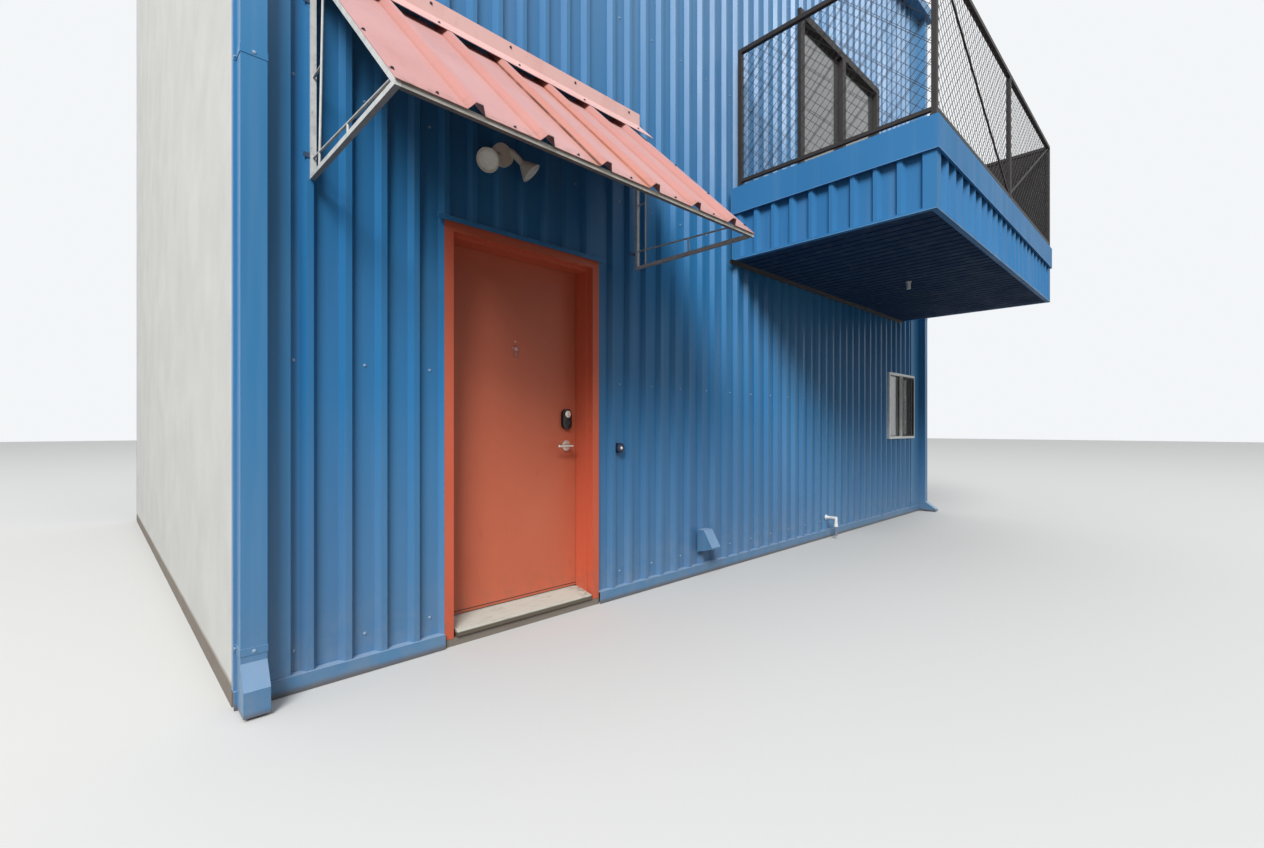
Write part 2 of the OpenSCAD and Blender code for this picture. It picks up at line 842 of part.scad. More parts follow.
// The strip over the top of the awning sheet, with a leg on the wall's ribs.
module awning_cap() {
    low_out = sheet_t + wide_rib_h + 2 * seat;
    high_out = low_out + sheet_t;
    leg_y = -rib_h - sheet_t;
    s_low = (-rib_h - awning_y + low_out * sin(awning_angle)) / cos(awning_angle);
    s_high = (leg_y - awning_y + high_out * sin(awning_angle)) / cos(awning_angle);
    leg_z = slope_point(s_high, high_out)[1] + cap_leg;
    color(salmon) placed() along_x(awning_x - cap_side, awning_x + awning_w + cap_side) polygon([
        slope_point(awning_len - cap_len, low_out),
        slope_point(awning_len - cap_len, high_out),
        slope_point(s_high, high_out),
        [leg_y, leg_z],
        [-rib_h, leg_z],
        slope_point(s_low, low_out)
    ]);
}

lamp_base_r = 60;
lamp_base_t = 24;
lamp_arm_r = 11;
lamp_holder_r = 17;
lamp_head_l = 150;
lamp_bell_l = 70;
lamp_rim_r = 60;
lamp_rim_w = 7;
lamp_rim_h = 10;

// One lamp head along +Z: holder, bell, rim and lens, with its rim at the height given.
module lamp_head(rim_z) {
    bell_z = rim_z - lamp_bell_l;
    lens_z = rim_z - lamp_rim_h + 2;
    rotate_extrude() polygon([
        [0, rim_z - lamp_head_l], [lamp_holder_r, rim_z - lamp_head_l], [lamp_holder_r, bell_z],
        [lamp_holder_r + 8, bell_z + 8], [lamp_rim_r - 4, rim_z - lamp_rim_h],
        [lamp_rim_r, rim_z], [lamp_rim_r - lamp_rim_w, rim_z],
        [lamp_rim_r - lamp_rim_w - 4, lens_z], [0, lens_z]
    ]);
}

// A lamp head on its arm, turned towards +X from straight out and dropped below the level.
module lamp_arm(turn, drop, reach) {
    rotate([90 + drop, 0, turn]) {
        cylinder(r = lamp_arm_r, h = reach - lamp_head_l + 20);
        lamp_head(reach);
    }
}

module floodlight() {
    root_y = 4 - lamp_base_t;
    color([0.86, 0.83, 0.76]) placed() translate([flood_x, -rib_h, flood_z]) {
        rotate([90, 0, 0]) cylinder(r = lamp_base_r, h = lamp_base_t);
        translate([-20, root_y, -10]) lamp_arm(-54, 33, 180);
        translate([40, root_y, 40]) lamp_arm(58, 45, 165);
    }
}

// Balcony

// Plan of the balcony as far as the wall's rib tops, widened on its free sides.
module balcony_plan(out) {
    translate([balcony_x - out, -balcony_p - out])
        square([balcony_l + 2 * out, balcony_p - rib_h + out]);
}

// Plan of the channels between ribs, cut into the fascia's outer face along X.
module rib_channels(length) {
    gap = rib_pitch - rib_base;
    n = floor((length - 2 * rib_top) / rib_pitch);
    start = (length - n * rib_pitch + rib_base) / 2;
    for (i = [0 : n - 1])
        translate([start + i * rib_pitch, 0]) polygon([
            [-rib_side, -1 - rib_side / rib_h], [-rib_side, 0], [0, rib_h],
            [gap, rib_h], [gap + rib_side, 0], [gap + rib_side, -1]
        ]);
}

module balcony_fascia() {
    side = balcony_p - rib_h;
    h = balcony_top - balcony_z;
    color(blue) placed() translate([0, 0, balcony_z]) difference() {
        linear_extrude(h) difference() {
            balcony_plan(0);
            translate([balcony_x + lining, -balcony_p + lining])
                square([balcony_l - 2 * lining, balcony_p]);
        }
        translate([0, 0, drip_h]) linear_extrude(h) {
            translate([balcony_x, -balcony_p]) rib_channels(balcony_l);
            translate([balcony_x, -rib_h]) rotate(-90) rib_channels(side);
            translate([balcony_r, -balcony_p]) rotate(90) rib_channels(side);
        }
    }
}

module balcony_band() {
    color(blue) placed() translate([0, 0, balcony_top - band_h]) linear_extrude(band_h)
        difference() {
            balcony_plan(band_t);
            balcony_plan(0);
        }
}

module balcony_deck() {
    color([0.45, 0.36, 0.28]) placed()
        block([balcony_x + lining, -balcony_p + lining, deck_z - deck_t],
              [balcony_r - lining, -rib_h, deck_z]);
}

module balcony_soffit() {
    w = balcony_l - 2 * lining;
    n = floor((w - groove_pitch) / groove_pitch);
    color(dark_blue) placed()
        translate([balcony_x + lining, -rib_h, 0]) rotate([90, 0, 0])
            linear_extrude(balcony_p - rib_h - lining) difference() {
                translate([0, balcony_z]) square([w, soffit_t]);
                for (i = [1 : n]) translate([i * groove_pitch, balcony_z - 1])
                    square([groove_pitch * 0.2, groove_h + 1]);
            }
}

// Rim, ledger and joists between the deck and the soffit.
module balcony_joists() {
    x0 = balcony_x + lining;
    x1 = balcony_r - lining;
    y0 = -balcony_p + lining;
    z0 = balcony_z + soffit_t;
    z1 = deck_z - deck_t;
    color([0.55, 0.45, 0.33]) placed() {
        difference() {
            block([x0, y0, z0], [x1, -rib_h, z1]);
            block([x0 + joist, y0 + joist, z0 - 1], [x1 - joist, -rib_h - joist, z1 + 1]);
        }
        for (i = [1 : joist_n])
            translate([x0 + i * (x1 - x0 - joist) / (joist_n + 1), y0 + 1, z1 - joist_h])
                cube([joist, -rib_h - y0 - 2, joist_h]);
    }
}

module soffit_lamp() {
    base_r = 26;
    base_h = 12;
    bulb_r = 18;
    bulb_h = 62;
    color(vinyl) placed()
        translate([balcony_x + balcony_l * 0.455, -balcony_p * 0.52, balcony_z]) rotate([180, 0, 0]) {
            cylinder(r = base_r, h = base_h);
            translate([0, 0, base_h]) cylinder(r = bulb_r, h = bulb_h);
        }
}

// Diamond mesh of flat wires in the XY plane, w wide and h high.
module mesh_wires(w, h) {
    n = ceil((w + h) / mesh_pitch);
    intersection() {
        square([w, h]);
        union() for (i = [-n : n], s = [-1, 1])
            translate([w / 2 + i * mesh_pitch, h / 2]) rotate(s * 45)
                square([wire, 2 * (w + h)], center = true);
    }
}

// One railing panel standing on the XY plane's X axis: rails and mesh between posts.
module railing_panel(w, h) {
    low = rail_gap;
    inner_z = low + bottom_rail;
    translate([0, -post / 2, h - post]) cube([w, post, post]);
    translate([0, -bottom_rail / 2, low]) cube([w, bottom_rail, bottom_rail]);
    translate([0, wire / 2, inner_z - 1]) rotate([90, 0, 0]) linear_extrude(wire)
        mesh_wires(w, h - post - inner_z + 2);
}

module railing_post(h) {
    translate([-post / 2, -post / 2, 0]) cube([post, post, h]);
}

// The middle line of the railing, from the balcony's outer faces.
rail_in = post / 2;
side_len = balcony_p - rib_h - rail_wall_gap - post;

module railing_side(x) {
    color(bronze) placed() translate([x, -balcony_p + post, balcony_top]) rotate([0, 0, 90]) {
        railing_panel(side_len, rail_h);
        translate([side_len - post / 2, 0, 0]) railing_post(rail_h);
    }
}

module railing_near() { railing_side(balcony_x + rail_in); }

module railing_far() { railing_side(balcony_r - rail_in); }

module railing_front() {
    mid = balcony_l * 0.52;
    foot = rail_gap + bottom_rail;
    rise = rail_h - post - foot;
    color(bronze) placed() translate([balcony_x, -balcony_p + rail_in, balcony_top]) {
        translate([post, 0, 0]) railing_panel(balcony_l - 2 * post, rail_h);
        for (x = [rail_in, mid, balcony_l - rail_in]) translate([x, 0, 0]) railing_post(rail_h);
        for (x = [post, balcony_l - post]) {
            reach = abs(x - mid);
            tilt = atan(rise / reach);
            translate([mid, 0, foot]) mirror([x < mid ? 1 : 0, 0, 0])
                translate([0, -brace_t / 2, 0]) rotate([0, -tilt, 0])
                    cube([reach / cos(tilt), brace_t, brace_t]);
        }
    }
}

module railing_screen() {
    color([0.20, 0.20, 0.21]) placed()
        block([balcony_r - rail_in - wire / 2 - sheet_t, -balcony_p + post,
               balcony_top + rail_gap + bottom_rail],
              [balcony_r - rail_in - wire / 2, -rib_h - rail_wall_gap - post, rail_z - post]);
}

// Windows and patio door

// A frame in the front wall with a middle bar, from the outside face back.
module glazed_frame(x, z, w, h, bar, out, depth) {
    translate([x, -out, z]) difference() {
        cube([w, depth, h]);
        for (s = [0, 1]) translate([bar + s * (w - bar) / 2, -1, bar])
            cube([(w - 3 * bar) / 2, depth + 2, h - 2 * bar]);
    }
}

// The two panes of such a frame.
module glazed_panes(x, z, w, h, bar, out, depth) {
    for (s = [0, 1])
        translate([x + bar + s * (w - bar) / 2, depth / 2 - out - glass_t / 2, z + bar])
            cube([(w - 3 * bar) / 2, glass_t, h - 2 * bar]);
}

module patio_door_frame() {
    color(vinyl) placed()
        glazed_frame(patio_x, upper_z, patio_w, patio_h, patio_bar, window_out, patio_d);
}

module patio_door_glass() {
    color(pane) placed()
        glazed_panes(patio_x, upper_z, patio_w, patio_h, patio_bar, window_out, patio_d);
}

// Puts a window drawn for the front wall at each window's place.
module at_windows() {
    translate([window_x, 0, window_z]) children();
    for (x = [rear_left, rear_right], z = [window_z, upper_window_z])
        translate([x, wall_d, z]) mirror([0, 1, 0]) children();
}

module window_frames() {
    color(vinyl) placed() at_windows()
        glazed_frame(0, 0, window_w, window_h, window_bar, window_out, window_d);
}

module window_glass() {
    color(pane) placed() at_windows()
        glazed_panes(0, 0, window_w, window_h, window_bar, window_out, window_d);
}

// Small fittings on the front wall

vent_z = 175;
vent_h = 166;
vent_top = 61;
vent_out = 137;
vent_lip = 46;

module vent_hood() {
    color(blue) placed() along_x(vent_x, vent_x + vent_w) polygon([
        [-rib_h, vent_z], [-rib_h, vent_z + vent_h], [-rib_h - vent_top, vent_z + vent_h],
        [-rib_h - vent_out, vent_z + vent_lip], [-rib_h - vent_out, vent_z + vent_lip - 10]
    ]);
}

drain_z = 205;
drain_drop = 170;
drain_out = 105;
drain_r = 15;
drain_collar_r = 20;
drain_collar_z = 85;
drain_collar_h = 24;
drain_flange_r = 26;
drain_flange_t = 5;

// A pipe out of the wall with an elbow, down to just above the ground.
module drain_pipe() {
    color(pale_steel) placed() translate([drain_x, -rib_h, drain_z]) {
        rotate([90, 0, 0]) cylinder(r = drain_flange_r, h = drain_flange_t);
        rotate([90, 0, 0]) cylinder(r = drain_r, h = drain_out);
        translate([0, -drain_out, 0]) {
            sphere(r = drain_r);
            translate([0, 0, -drain_drop]) cylinder(r = drain_r, h = drain_drop);
            translate([0, 0, -drain_collar_z]) cylinder(r = drain_collar_r, h = drain_collar_h);
        }
    }
}

floor_slab();
upper_floor();
roof_deck();
roof_sheet();
roof_trim();
gutter();
front_wall_left();
front_wall_over_door();
front_wall_middle();
front_wall_window_panels();
front_wall_right();
upper_wall_left();
upper_wall_over_patio_door();
upper_wall_right();
party_wall();
end_wall();
rear_wall_piers();
rear_wall_panels();
front_cladding_left();
front_cladding_right();
end_cladding();
rear_cladding();
corner_trims();
base_trim();
downspout_left();
downspout_right();
door_frame();
door_sill();
door_head_cap();
hinge_frame_halves();
door_leaf();
hinge_leaf_halves();
door_deadbolt();
lever_roses();
door_viewer();
door_lever();
awning_bracket_left();
awning_bracket_right();
awning_front_tube();
awning_sheet();
awning_cap();
floodlight();
balcony_joists();
balcony_deck();
balcony_fascia();
balcony_band();
balcony_soffit();
soffit_lamp();
railing_near();
railing_front();
railing_far();
railing_screen();
patio_door_frame();
patio_door_glass();
window_frames();
window_glass();
vent_hood();
drain_pipe();
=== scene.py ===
import math
import random

import bpy
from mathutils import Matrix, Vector


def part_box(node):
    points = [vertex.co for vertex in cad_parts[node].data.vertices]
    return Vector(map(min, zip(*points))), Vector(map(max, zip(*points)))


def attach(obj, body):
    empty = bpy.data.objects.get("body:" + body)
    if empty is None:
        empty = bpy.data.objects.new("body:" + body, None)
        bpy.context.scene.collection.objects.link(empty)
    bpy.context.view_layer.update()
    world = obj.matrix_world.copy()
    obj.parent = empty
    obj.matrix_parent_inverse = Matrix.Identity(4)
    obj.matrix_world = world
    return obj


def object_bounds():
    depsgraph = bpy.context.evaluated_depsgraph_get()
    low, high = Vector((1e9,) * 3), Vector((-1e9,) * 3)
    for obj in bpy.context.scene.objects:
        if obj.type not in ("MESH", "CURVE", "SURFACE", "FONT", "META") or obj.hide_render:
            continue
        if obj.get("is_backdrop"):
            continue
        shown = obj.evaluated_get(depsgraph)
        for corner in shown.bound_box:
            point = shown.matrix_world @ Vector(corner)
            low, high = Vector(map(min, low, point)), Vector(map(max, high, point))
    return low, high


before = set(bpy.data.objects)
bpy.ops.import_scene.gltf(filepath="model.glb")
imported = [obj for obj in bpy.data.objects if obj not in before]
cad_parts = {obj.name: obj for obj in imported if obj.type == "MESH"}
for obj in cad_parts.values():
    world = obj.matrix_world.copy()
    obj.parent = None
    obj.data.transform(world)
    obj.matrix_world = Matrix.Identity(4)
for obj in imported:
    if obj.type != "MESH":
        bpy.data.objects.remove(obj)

cad_low, cad_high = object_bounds()
random.seed(7)

# Sizes taken from the part's source, in metres
RIB = 0.032
RIB_BASE = 0.066
PITCH = 0.1524
FIRST_RIB = 0.235
SECOND_RIB = 0.094
CORNER_TRIM = 0.12
AWNING_RIB = 0.239
AWNING_PITCH = 0.292
POST = 0.032
RAIL_FOOT = 0.060
SILL_LIP = 0.024
LAMP_LENS = 0.062
DRAIN_COLLAR = 0.085

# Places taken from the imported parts
slab_low, slab_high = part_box("floor_slab")
clad_left_low, clad_left_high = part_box("front_cladding_left")
clad_right_low, clad_right_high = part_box("front_cladding_right")
end_low, end_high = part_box("end_cladding")
rear_low, rear_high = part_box("rear_cladding")
leaf_low, leaf_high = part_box("door_leaf")
bolt_low, bolt_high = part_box("door_deadbolt")
viewer_low, viewer_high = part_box("door_viewer")
sill_low, sill_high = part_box("door_sill")
patio_low, patio_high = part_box("patio_door_frame")
panels_low, panels_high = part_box("front_wall_window_panels")
fascia_low, fascia_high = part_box("balcony_fascia")
band_low, band_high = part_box("balcony_band")
sheet_low, sheet_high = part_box("awning_sheet")
cap_low, cap_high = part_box("awning_cap")
bracket_low, bracket_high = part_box("awning_bracket_left")
tube_low, tube_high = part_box("awning_front_tube")
front_rail_low, front_rail_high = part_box("railing_front")
near_rail_low, near_rail_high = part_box("railing_near")
far_rail_low, far_rail_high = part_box("railing_far")
lamp_low, lamp_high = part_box("soffit_lamp")
drain_low, drain_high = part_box("drain_pipe")

# Ends and faces of the walls' flat pans
LEFT = slab_low.x
RIGHT = end_high.x - RIB
FRONT = clad_left_low.y + RIB
REAR = rear_high.y - RIB
OUT = Vector((0, -1, 0))


# Materials

class Nodes:
    """Short names for building one material's nodes."""

    def __init__(self, material):
        self.tree = material.node_tree
        self.coord = None

    def add(self, kind, **settings):
        node = self.tree.nodes.new(kind)
        for key, value in settings.items():
            setattr(node, key, value)
        return node

    def link(self, a, b):
        self.tree.links.new(a, b)

    def put(self, socket, value):
        if hasattr(value, "is_output"):
            self.link(value, socket)
        else:
            socket.default_value = value

    def place(self):
        if self.coord is None:
            self.coord = self.add("ShaderNodeTexCoord").outputs["Object"]
        return self.coord

    def scaled(self, scale):
        mapping = self.add("ShaderNodeMapping")
        self.link(self.place(), mapping.inputs["Vector"])
        mapping.inputs["Scale"].default_value = scale
        return mapping.outputs["Vector"]

    def noise(self, scale, detail=3.0, stretch=(1, 1, 1), rough=0.55):
        node = self.add("ShaderNodeTexNoise")
        self.link(self.scaled(stretch), node.inputs["Vector"])
        node.inputs["Scale"].default_value = scale
        node.inputs["Detail"].default_value = detail
        node.inputs["Roughness"].default_value = rough
        return node.outputs["Fac"]

    def ramp(self, value, low, high, out_low=0.0, out_high=1.0):
        node = self.add("ShaderNodeMapRange")
        self.put(node.inputs["Value"], value)
        node.inputs["From Min"].default_value = low
        node.inputs["From Max"].default_value = high
        node.inputs["To Min"].default_value = out_low
        node.inputs["To Max"].default_value = out_high
        return node.outputs["Result"]

    def math(self, what, a, b=0.0):
        node = self.add("ShaderNodeMath", operation=what)
        self.put(node.inputs[0], a)
        self.put(node.inputs[1], b)
        return node.outputs[0]

    def times(self, a, b):
        return self.math("MULTIPLY", a, b)

    def mix(self, factor, a, b):
        node = self.add("ShaderNodeMix", data_type="RGBA")
        self.put(node.inputs["Factor"], factor)
        for socket, value in ((node.inputs[6], a), (node.inputs[7], b)):
            if hasattr(value, "is_output"):
                self.link(value, socket)
            else:
                socket.default_value = (*value, 1)
        return node.outputs[2]

    def axis(self, which):
        node = self.add("ShaderNodeSeparateXYZ")
        self.link(self.place(), node.inputs[0])
        return node.outputs[which]

    def facing(self, which):
        """How far the surface faces along one world axis, from -1 to 1."""
        node = self.add("ShaderNodeSeparateXYZ")
        self.link(self.add("ShaderNodeNewGeometry").outputs["True Normal"], node.inputs[0])
        return node.outputs[which]

    def stripe(self, value, middle, half, soft=0.002):
        """1 within half of the middle, falling to 0 over the soft width."""
        away = self.math("ABSOLUTE", self.math("SUBTRACT", value, middle))
        return self.ramp(away, half, half + soft, 1.0, 0.0)

    def bump(self, height, strength, distance, normal=None):
        node = self.add("ShaderNodeBump")
        node.inputs["Strength"].default_value = strength
        node.inputs["Distance"].default_value = distance
        self.link(height, node.inputs["Height"])
        if normal is not None:
            self.link(normal, node.inputs["Normal"])
        return node.outputs["Normal"]

    def colour(self, paint):
        self.link(paint, self.bsdf.inputs["Base Color"])

    def rough(self, value):
        self.link(value, self.bsdf.inputs["Roughness"])

    def normal(self, value):
        self.link(value, self.bsdf.inputs["Normal"])


def new_material(name, colour, rough=0.5, metallic=0.0, specular=0.5):
    m = bpy.data.materials.new(name)
    m.use_nodes = True
    m.node_tree.nodes.clear()
    n = Nodes(m)
    out = n.add("ShaderNodeOutputMaterial")
    n.bsdf = n.add("ShaderNodeBsdfPrincipled")
    n.bsdf.inputs["Base Color"].default_value = (*colour, 1)
    n.bsdf.inputs["Roughness"].default_value = rough
    n.bsdf.inputs["Metallic"].default_value = metallic
    n.bsdf.inputs["Specular IOR Level"].default_value = specular
    n.link(n.bsdf.outputs["BSDF"], out.inputs["Surface"])
    return m, n


def shade(colour, k):
    return tuple(k * c for c in colour)


DUST = (0.34, 0.31, 0.27)
MUD = (0.13, 0.10, 0.075)
RUST = (0.20, 0.075, 0.030)


def painted_sheet(name, colour, faded, rough=0.34, wave=0.010, dirt_top=0.40, specular=0.32,
                  painted_sky_reflection=0.0):
    """Painted sheet: fading, rain streaks, painted sky reflection high up, dust near the ground,
    dust and painted highlight on ledges, wavy pans.
    """
    m, n = new_material(name, colour, rough, specular=specular)
    patches = n.ramp(n.noise(0.9, 4, (1, 1, 0.35)), 0.35, 0.72)
    streaks = n.ramp(n.noise(11, 3, (1, 1, 0.04)), 0.52, 0.80)
    specks = n.ramp(n.noise(160, 2), 0.62, 0.75)
    paint = n.mix(patches, colour, faded)
    paint = n.mix(n.times(streaks, 0.16), paint, tuple(0.6 * c + 0.22 for c in faded))
    # Painted reflection: above 2.5 m the paint turns lighter and greyer, standing in for the sky's
    # reflection
    upper = n.ramp(n.axis("Z"), 2.5, 4.4, 0.0, painted_sky_reflection)
    paint = n.mix(upper, paint, tuple(0.75 * c + 0.13 for c in faded))
    low = n.ramp(n.axis("Z"), 0.0, dirt_top, 1.0, 0.0)
    paint = n.mix(n.ramp(n.axis("Z"), 0.1, 1.3, 0.17, 0.0), paint, DUST)
    splash = n.times(low, n.ramp(n.noise(13, 5), 0.36, 0.70))
    paint = n.mix(n.times(splash, 0.22), paint, DUST)
    # Up-facing faces turn paler: dust, and a painted highlight where light falls on the ledges
    ledge = n.ramp(n.facing("Z"), 0.25, 0.80)
    paint = n.mix(n.times(ledge, 0.42), paint, tuple(0.35 + 0.5 * c for c in faded))
    under = n.ramp(n.axis("Z"), 0.012, 0.034, 1.0, 0.0)
    paint = n.mix(n.times(under, 0.75), paint, MUD)
    paint = n.mix(n.times(specks, 0.10), paint, shade(colour, 0.4))
    n.colour(paint)
    n.rough(n.ramp(n.noise(5, 4, (1, 1, 0.2)), 0.3, 0.7, rough - 0.06, rough + 0.10))
    waves = n.noise(2.6, 1.5, (1, 1, 0.30))
    n.normal(n.bump(n.noise(420, 2), 0.10, 0.0006, n.bump(waves, 1.0, wave)))
    return m


def awning_paint(name, red, pale, streak_ribs=()):
    """Sun-faded red sheet: chalky pans, painted shade as redder rib sides, rust along some ribs'
    feet.
    """
    orange = (0.46, 0.180, 0.120)
    m, n = new_material(name, red, 0.5, specular=0.30)
    worn = n.ramp(n.noise(1.7, 5), 0.28, 0.60)
    paint = n.mix(worn, n.mix(0.6, red, pale), pale)
    # Painted shade: rib flanks facing sideways take the deeper red of their shaded side
    across = n.math("ABSOLUTE", n.facing("X"))
    paint = n.mix(n.times(n.ramp(across, 0.15, 0.50), 0.50), paint, red)
    stains = n.ramp(n.noise(8, 4, (1.0, 0.15, 0.15)), 0.54, 0.78)
    paint = n.mix(n.times(stains, 0.30), paint, orange)
    x = n.axis("X")
    rough_edge = n.ramp(n.noise(24, 4, (1, 0.4, 0.4)), 0.25, 0.55, 0.45, 1.0)
    for rib, strength, line in streak_ribs:
        foot = sheet_low.x + AWNING_RIB + rib * AWNING_PITCH
        halo = n.stripe(x, foot - 0.004, 0.008, 0.050)
        paint = n.mix(n.times(halo, 0.45 * strength), paint, orange)
        core = n.stripe(x, foot + 0.001, 0.0030, 0.003)
        paint = n.mix(n.times(n.times(core, rough_edge), strength), paint, line)
    grime = n.ramp(n.noise(26, 5), 0.60, 0.82)
    paint = n.mix(n.times(grime, 0.22), paint, (0.22, 0.14, 0.10))
    front = n.ramp(n.axis("Z"), sheet_low.z, sheet_low.z + 0.07, 1.0, 0.0)
    front = n.times(front, n.ramp(n.noise(34, 4), 0.40, 0.66))
    paint = n.mix(n.times(front, 0.55), paint, (0.17, 0.12, 0.08))
    n.colour(paint)
    n.rough(n.ramp(n.noise(6, 3), 0.3, 0.7, 0.44, 0.62))
    n.normal(n.bump(n.noise(4, 2), 0.6, 0.006))
    return m


def brushed_paint(name, colour, other, rough=0.42, specular=0.30):
    """Hand-painted steel door or frame: roller texture and soft tone changes."""
    m, n = new_material(name, colour, rough, specular=specular)
    tone = n.ramp(n.noise(2.4, 3, (1, 1, 0.6)), 0.3, 0.7)
    paint = n.mix(n.times(tone, 0.7), colour, other)
    scuffs = n.ramp(n.noise(26, 4, (1, 1, 0.25)), 0.66, 0.80)
    paint = n.mix(n.times(scuffs, 0.22), paint, shade(colour, 0.5))
    low = n.ramp(n.axis("Z"), 0.05, 0.30, 1.0, 0.0)
    low = n.times(low, n.ramp(n.noise(18, 4), 0.4, 0.7))
    paint = n.mix(n.times(low, 0.35), paint, MUD)
    n.colour(paint)
    n.rough(n.ramp(n.noise(40, 2), 0.3, 0.7, rough - 0.05, rough + 0.08))
    n.normal(n.bump(n.noise(480, 2), 0.35, 0.0008))
    return m


def worn_paint(name, colour, rust=0.5, under=0.0, grime=0.45, tab_edge=None):
    """Old paint on steel: grime, rust spots, painted shade on faces pointing down; blue left of a
    tab's edge.
    """
    m, n = new_material(name, colour, 0.55, specular=0.35)
    dirt = n.ramp(n.noise(18, 5), 0.42, 0.72)
    paint = n.mix(n.times(dirt, grime), colour, shade(colour, 0.45))
    # Painted shade: faces pointing down go dark brown, as much as the under setting says
    below = n.ramp(n.facing("Z"), -0.9, -0.2, under, 0.0)
    paint = n.mix(below, paint, (0.05, 0.036, 0.028))
    spots = n.ramp(n.noise(75, 4), 0.64, 0.70)
    paint = n.mix(n.times(spots, rust), paint, RUST)
    if tab_edge is not None:
        paint = n.mix(n.ramp(n.axis("X"), tab_edge - 0.001, tab_edge, 1.0, 0.0), paint,
                      (0.030, 0.060, 0.120))
    n.colour(paint)
    n.normal(n.bump(n.noise(150, 3), 0.4, 0.001))
    return m


def sill_metal(name, colour):
    """Scratched pale threshold: brown below the top of its front lip, and dirty at its ends."""
    m, n = new_material(name, colour, 0.5, specular=0.35)
    scratches = n.ramp(n.noise(70, 4, (0.15, 1, 1)), 0.52, 0.70)
    paint = n.mix(n.times(scratches, 0.45), colour, shade(colour, 0.55))
    lip = n.ramp(n.axis("Z"), sill_low.z + SILL_LIP, sill_low.z + SILL_LIP + 0.004, 1.0, 0.0)
    paint = n.mix(lip, paint, (0.115, 0.095, 0.070))
    ends = n.ramp(n.axis("X"), sill_high.x - 0.10, sill_high.x, 0.0, 0.8)
    paint = n.mix(n.times(ends, n.ramp(n.noise(30, 4), 0.40, 0.60)), paint, (0.10, 0.07, 0.05))
    n.colour(paint)
    n.normal(n.bump(scratches, 0.3, 0.0008))
    return m


def metal(name, colour, rough=0.32):
    m, n = new_material(name, colour, rough, 1.0)
    n.rough(n.ramp(n.noise(90, 3, (1, 1, 0.2)), 0.3, 0.7, rough - 0.08, rough + 0.12))
    n.normal(n.bump(n.noise(700, 2, (1, 1, 0.1)), 0.15, 0.0004))
    return m


def stone_like(name, colour, dark, scale=9.0, rough=0.85, soiled=0.0):
    """Cast or plastered surface: mottled tone, pores, and soil up to a height above ground."""
    m, n = new_material(name, colour, rough)
    paint = n.mix(n.ramp(n.noise(scale * 0.3, 5), 0.3, 0.7), colour, dark)
    pores = n.ramp(n.noise(scale * 22, 3), 0.60, 0.72)
    paint = n.mix(n.times(pores, 0.35), paint, shade(dark, 0.5))
    if soiled:
        paint = n.mix(n.ramp(n.axis("Z"), soiled, soiled + 0.01, 0.75, 0.0), paint, MUD)
    n.colour(paint)
    n.normal(n.bump(n.noise(scale * 30, 4), 0.5, 0.002, n.bump(n.noise(scale, 2), 0.4, 0.004)))
    return m


def timber(name, colour, dark, board=0.0):
    """Sawn boards along X: long grain, tone changes, and dark joints every board width."""
    m, n = new_material(name, colour, 0.7)
    along = (0.06, 1, 1)
    grain = n.ramp(n.noise(60, 5, along, 0.65), 0.35, 0.68)
    wood = n.mix(grain, colour, dark)
    wood = n.mix(n.times(n.ramp(n.noise(3, 2, along), 0.35, 0.65), 0.4), wood, shade(dark, 0.6))
    if board:
        spot = n.math("PINGPONG", n.axis("Y"), board / 2)
        wood = n.mix(n.ramp(spot, 0.0, 0.006, 1.0, 0.0), wood, (0.02, 0.015, 0.01))
    n.colour(wood)
    n.normal(n.bump(grain, 0.35, 0.0015))
    return m


def plastic(name, colour, rough=0.35, upper=None, split=0.0):
    """Moulded plastic or glass; above the split height it takes the upper colour."""
    m, n = new_material(name, colour, rough)
    paint = colour
    if upper:
        paint = n.mix(n.ramp(n.axis("Z"), split, split + 0.003), colour, upper)
    dirt = n.times(n.ramp(n.noise(12, 4), 0.4, 0.75), 0.35)
    n.colour(n.mix(dirt, paint, shade(colour, 0.55)))
    n.rough(n.ramp(n.noise(25, 3), 0.3, 0.7, rough - 0.05, rough + 0.12))
    n.normal(n.bump(n.noise(500, 2), 0.15, 0.0005))
    return m


def woven(name, colour, thread=0.004):
    """Coarse cloth: threads crossing at right angles."""
    m, n = new_material(name, colour, 0.85)
    warp = n.math("PINGPONG", n.axis("Y"), thread)
    weft = n.math("PINGPONG", n.axis("Z"), thread)
    threads = n.math("MAXIMUM", n.ramp(warp, 0.0, thread), n.ramp(weft, 0.0, thread))
    n.colour(n.mix(n.ramp(n.noise(6, 3), 0.3, 0.7), shade(colour, 0.6), colour))
    n.normal(n.bump(threads, 0.6, 0.001))
    return m


def window_pane(name):
    """Thin tinted glass with faint dust, wavy enough to break its reflections."""
    m, n = new_material(name, (0.060, 0.066, 0.062), 0.03, specular=1.0)
    n.bsdf.inputs["IOR"].default_value = 1.8
    n.bsdf.inputs["Alpha"].default_value = 0.60
    n.bsdf.inputs["Coat Weight"].default_value = 1.0
    n.bsdf.inputs["Coat IOR"].default_value = 2.2
    n.rough(n.ramp(n.noise(30, 4), 0.5, 0.8, 0.02, 0.10))
    n.normal(n.bump(n.noise(1.6, 1), 0.25, 0.004))
    return m
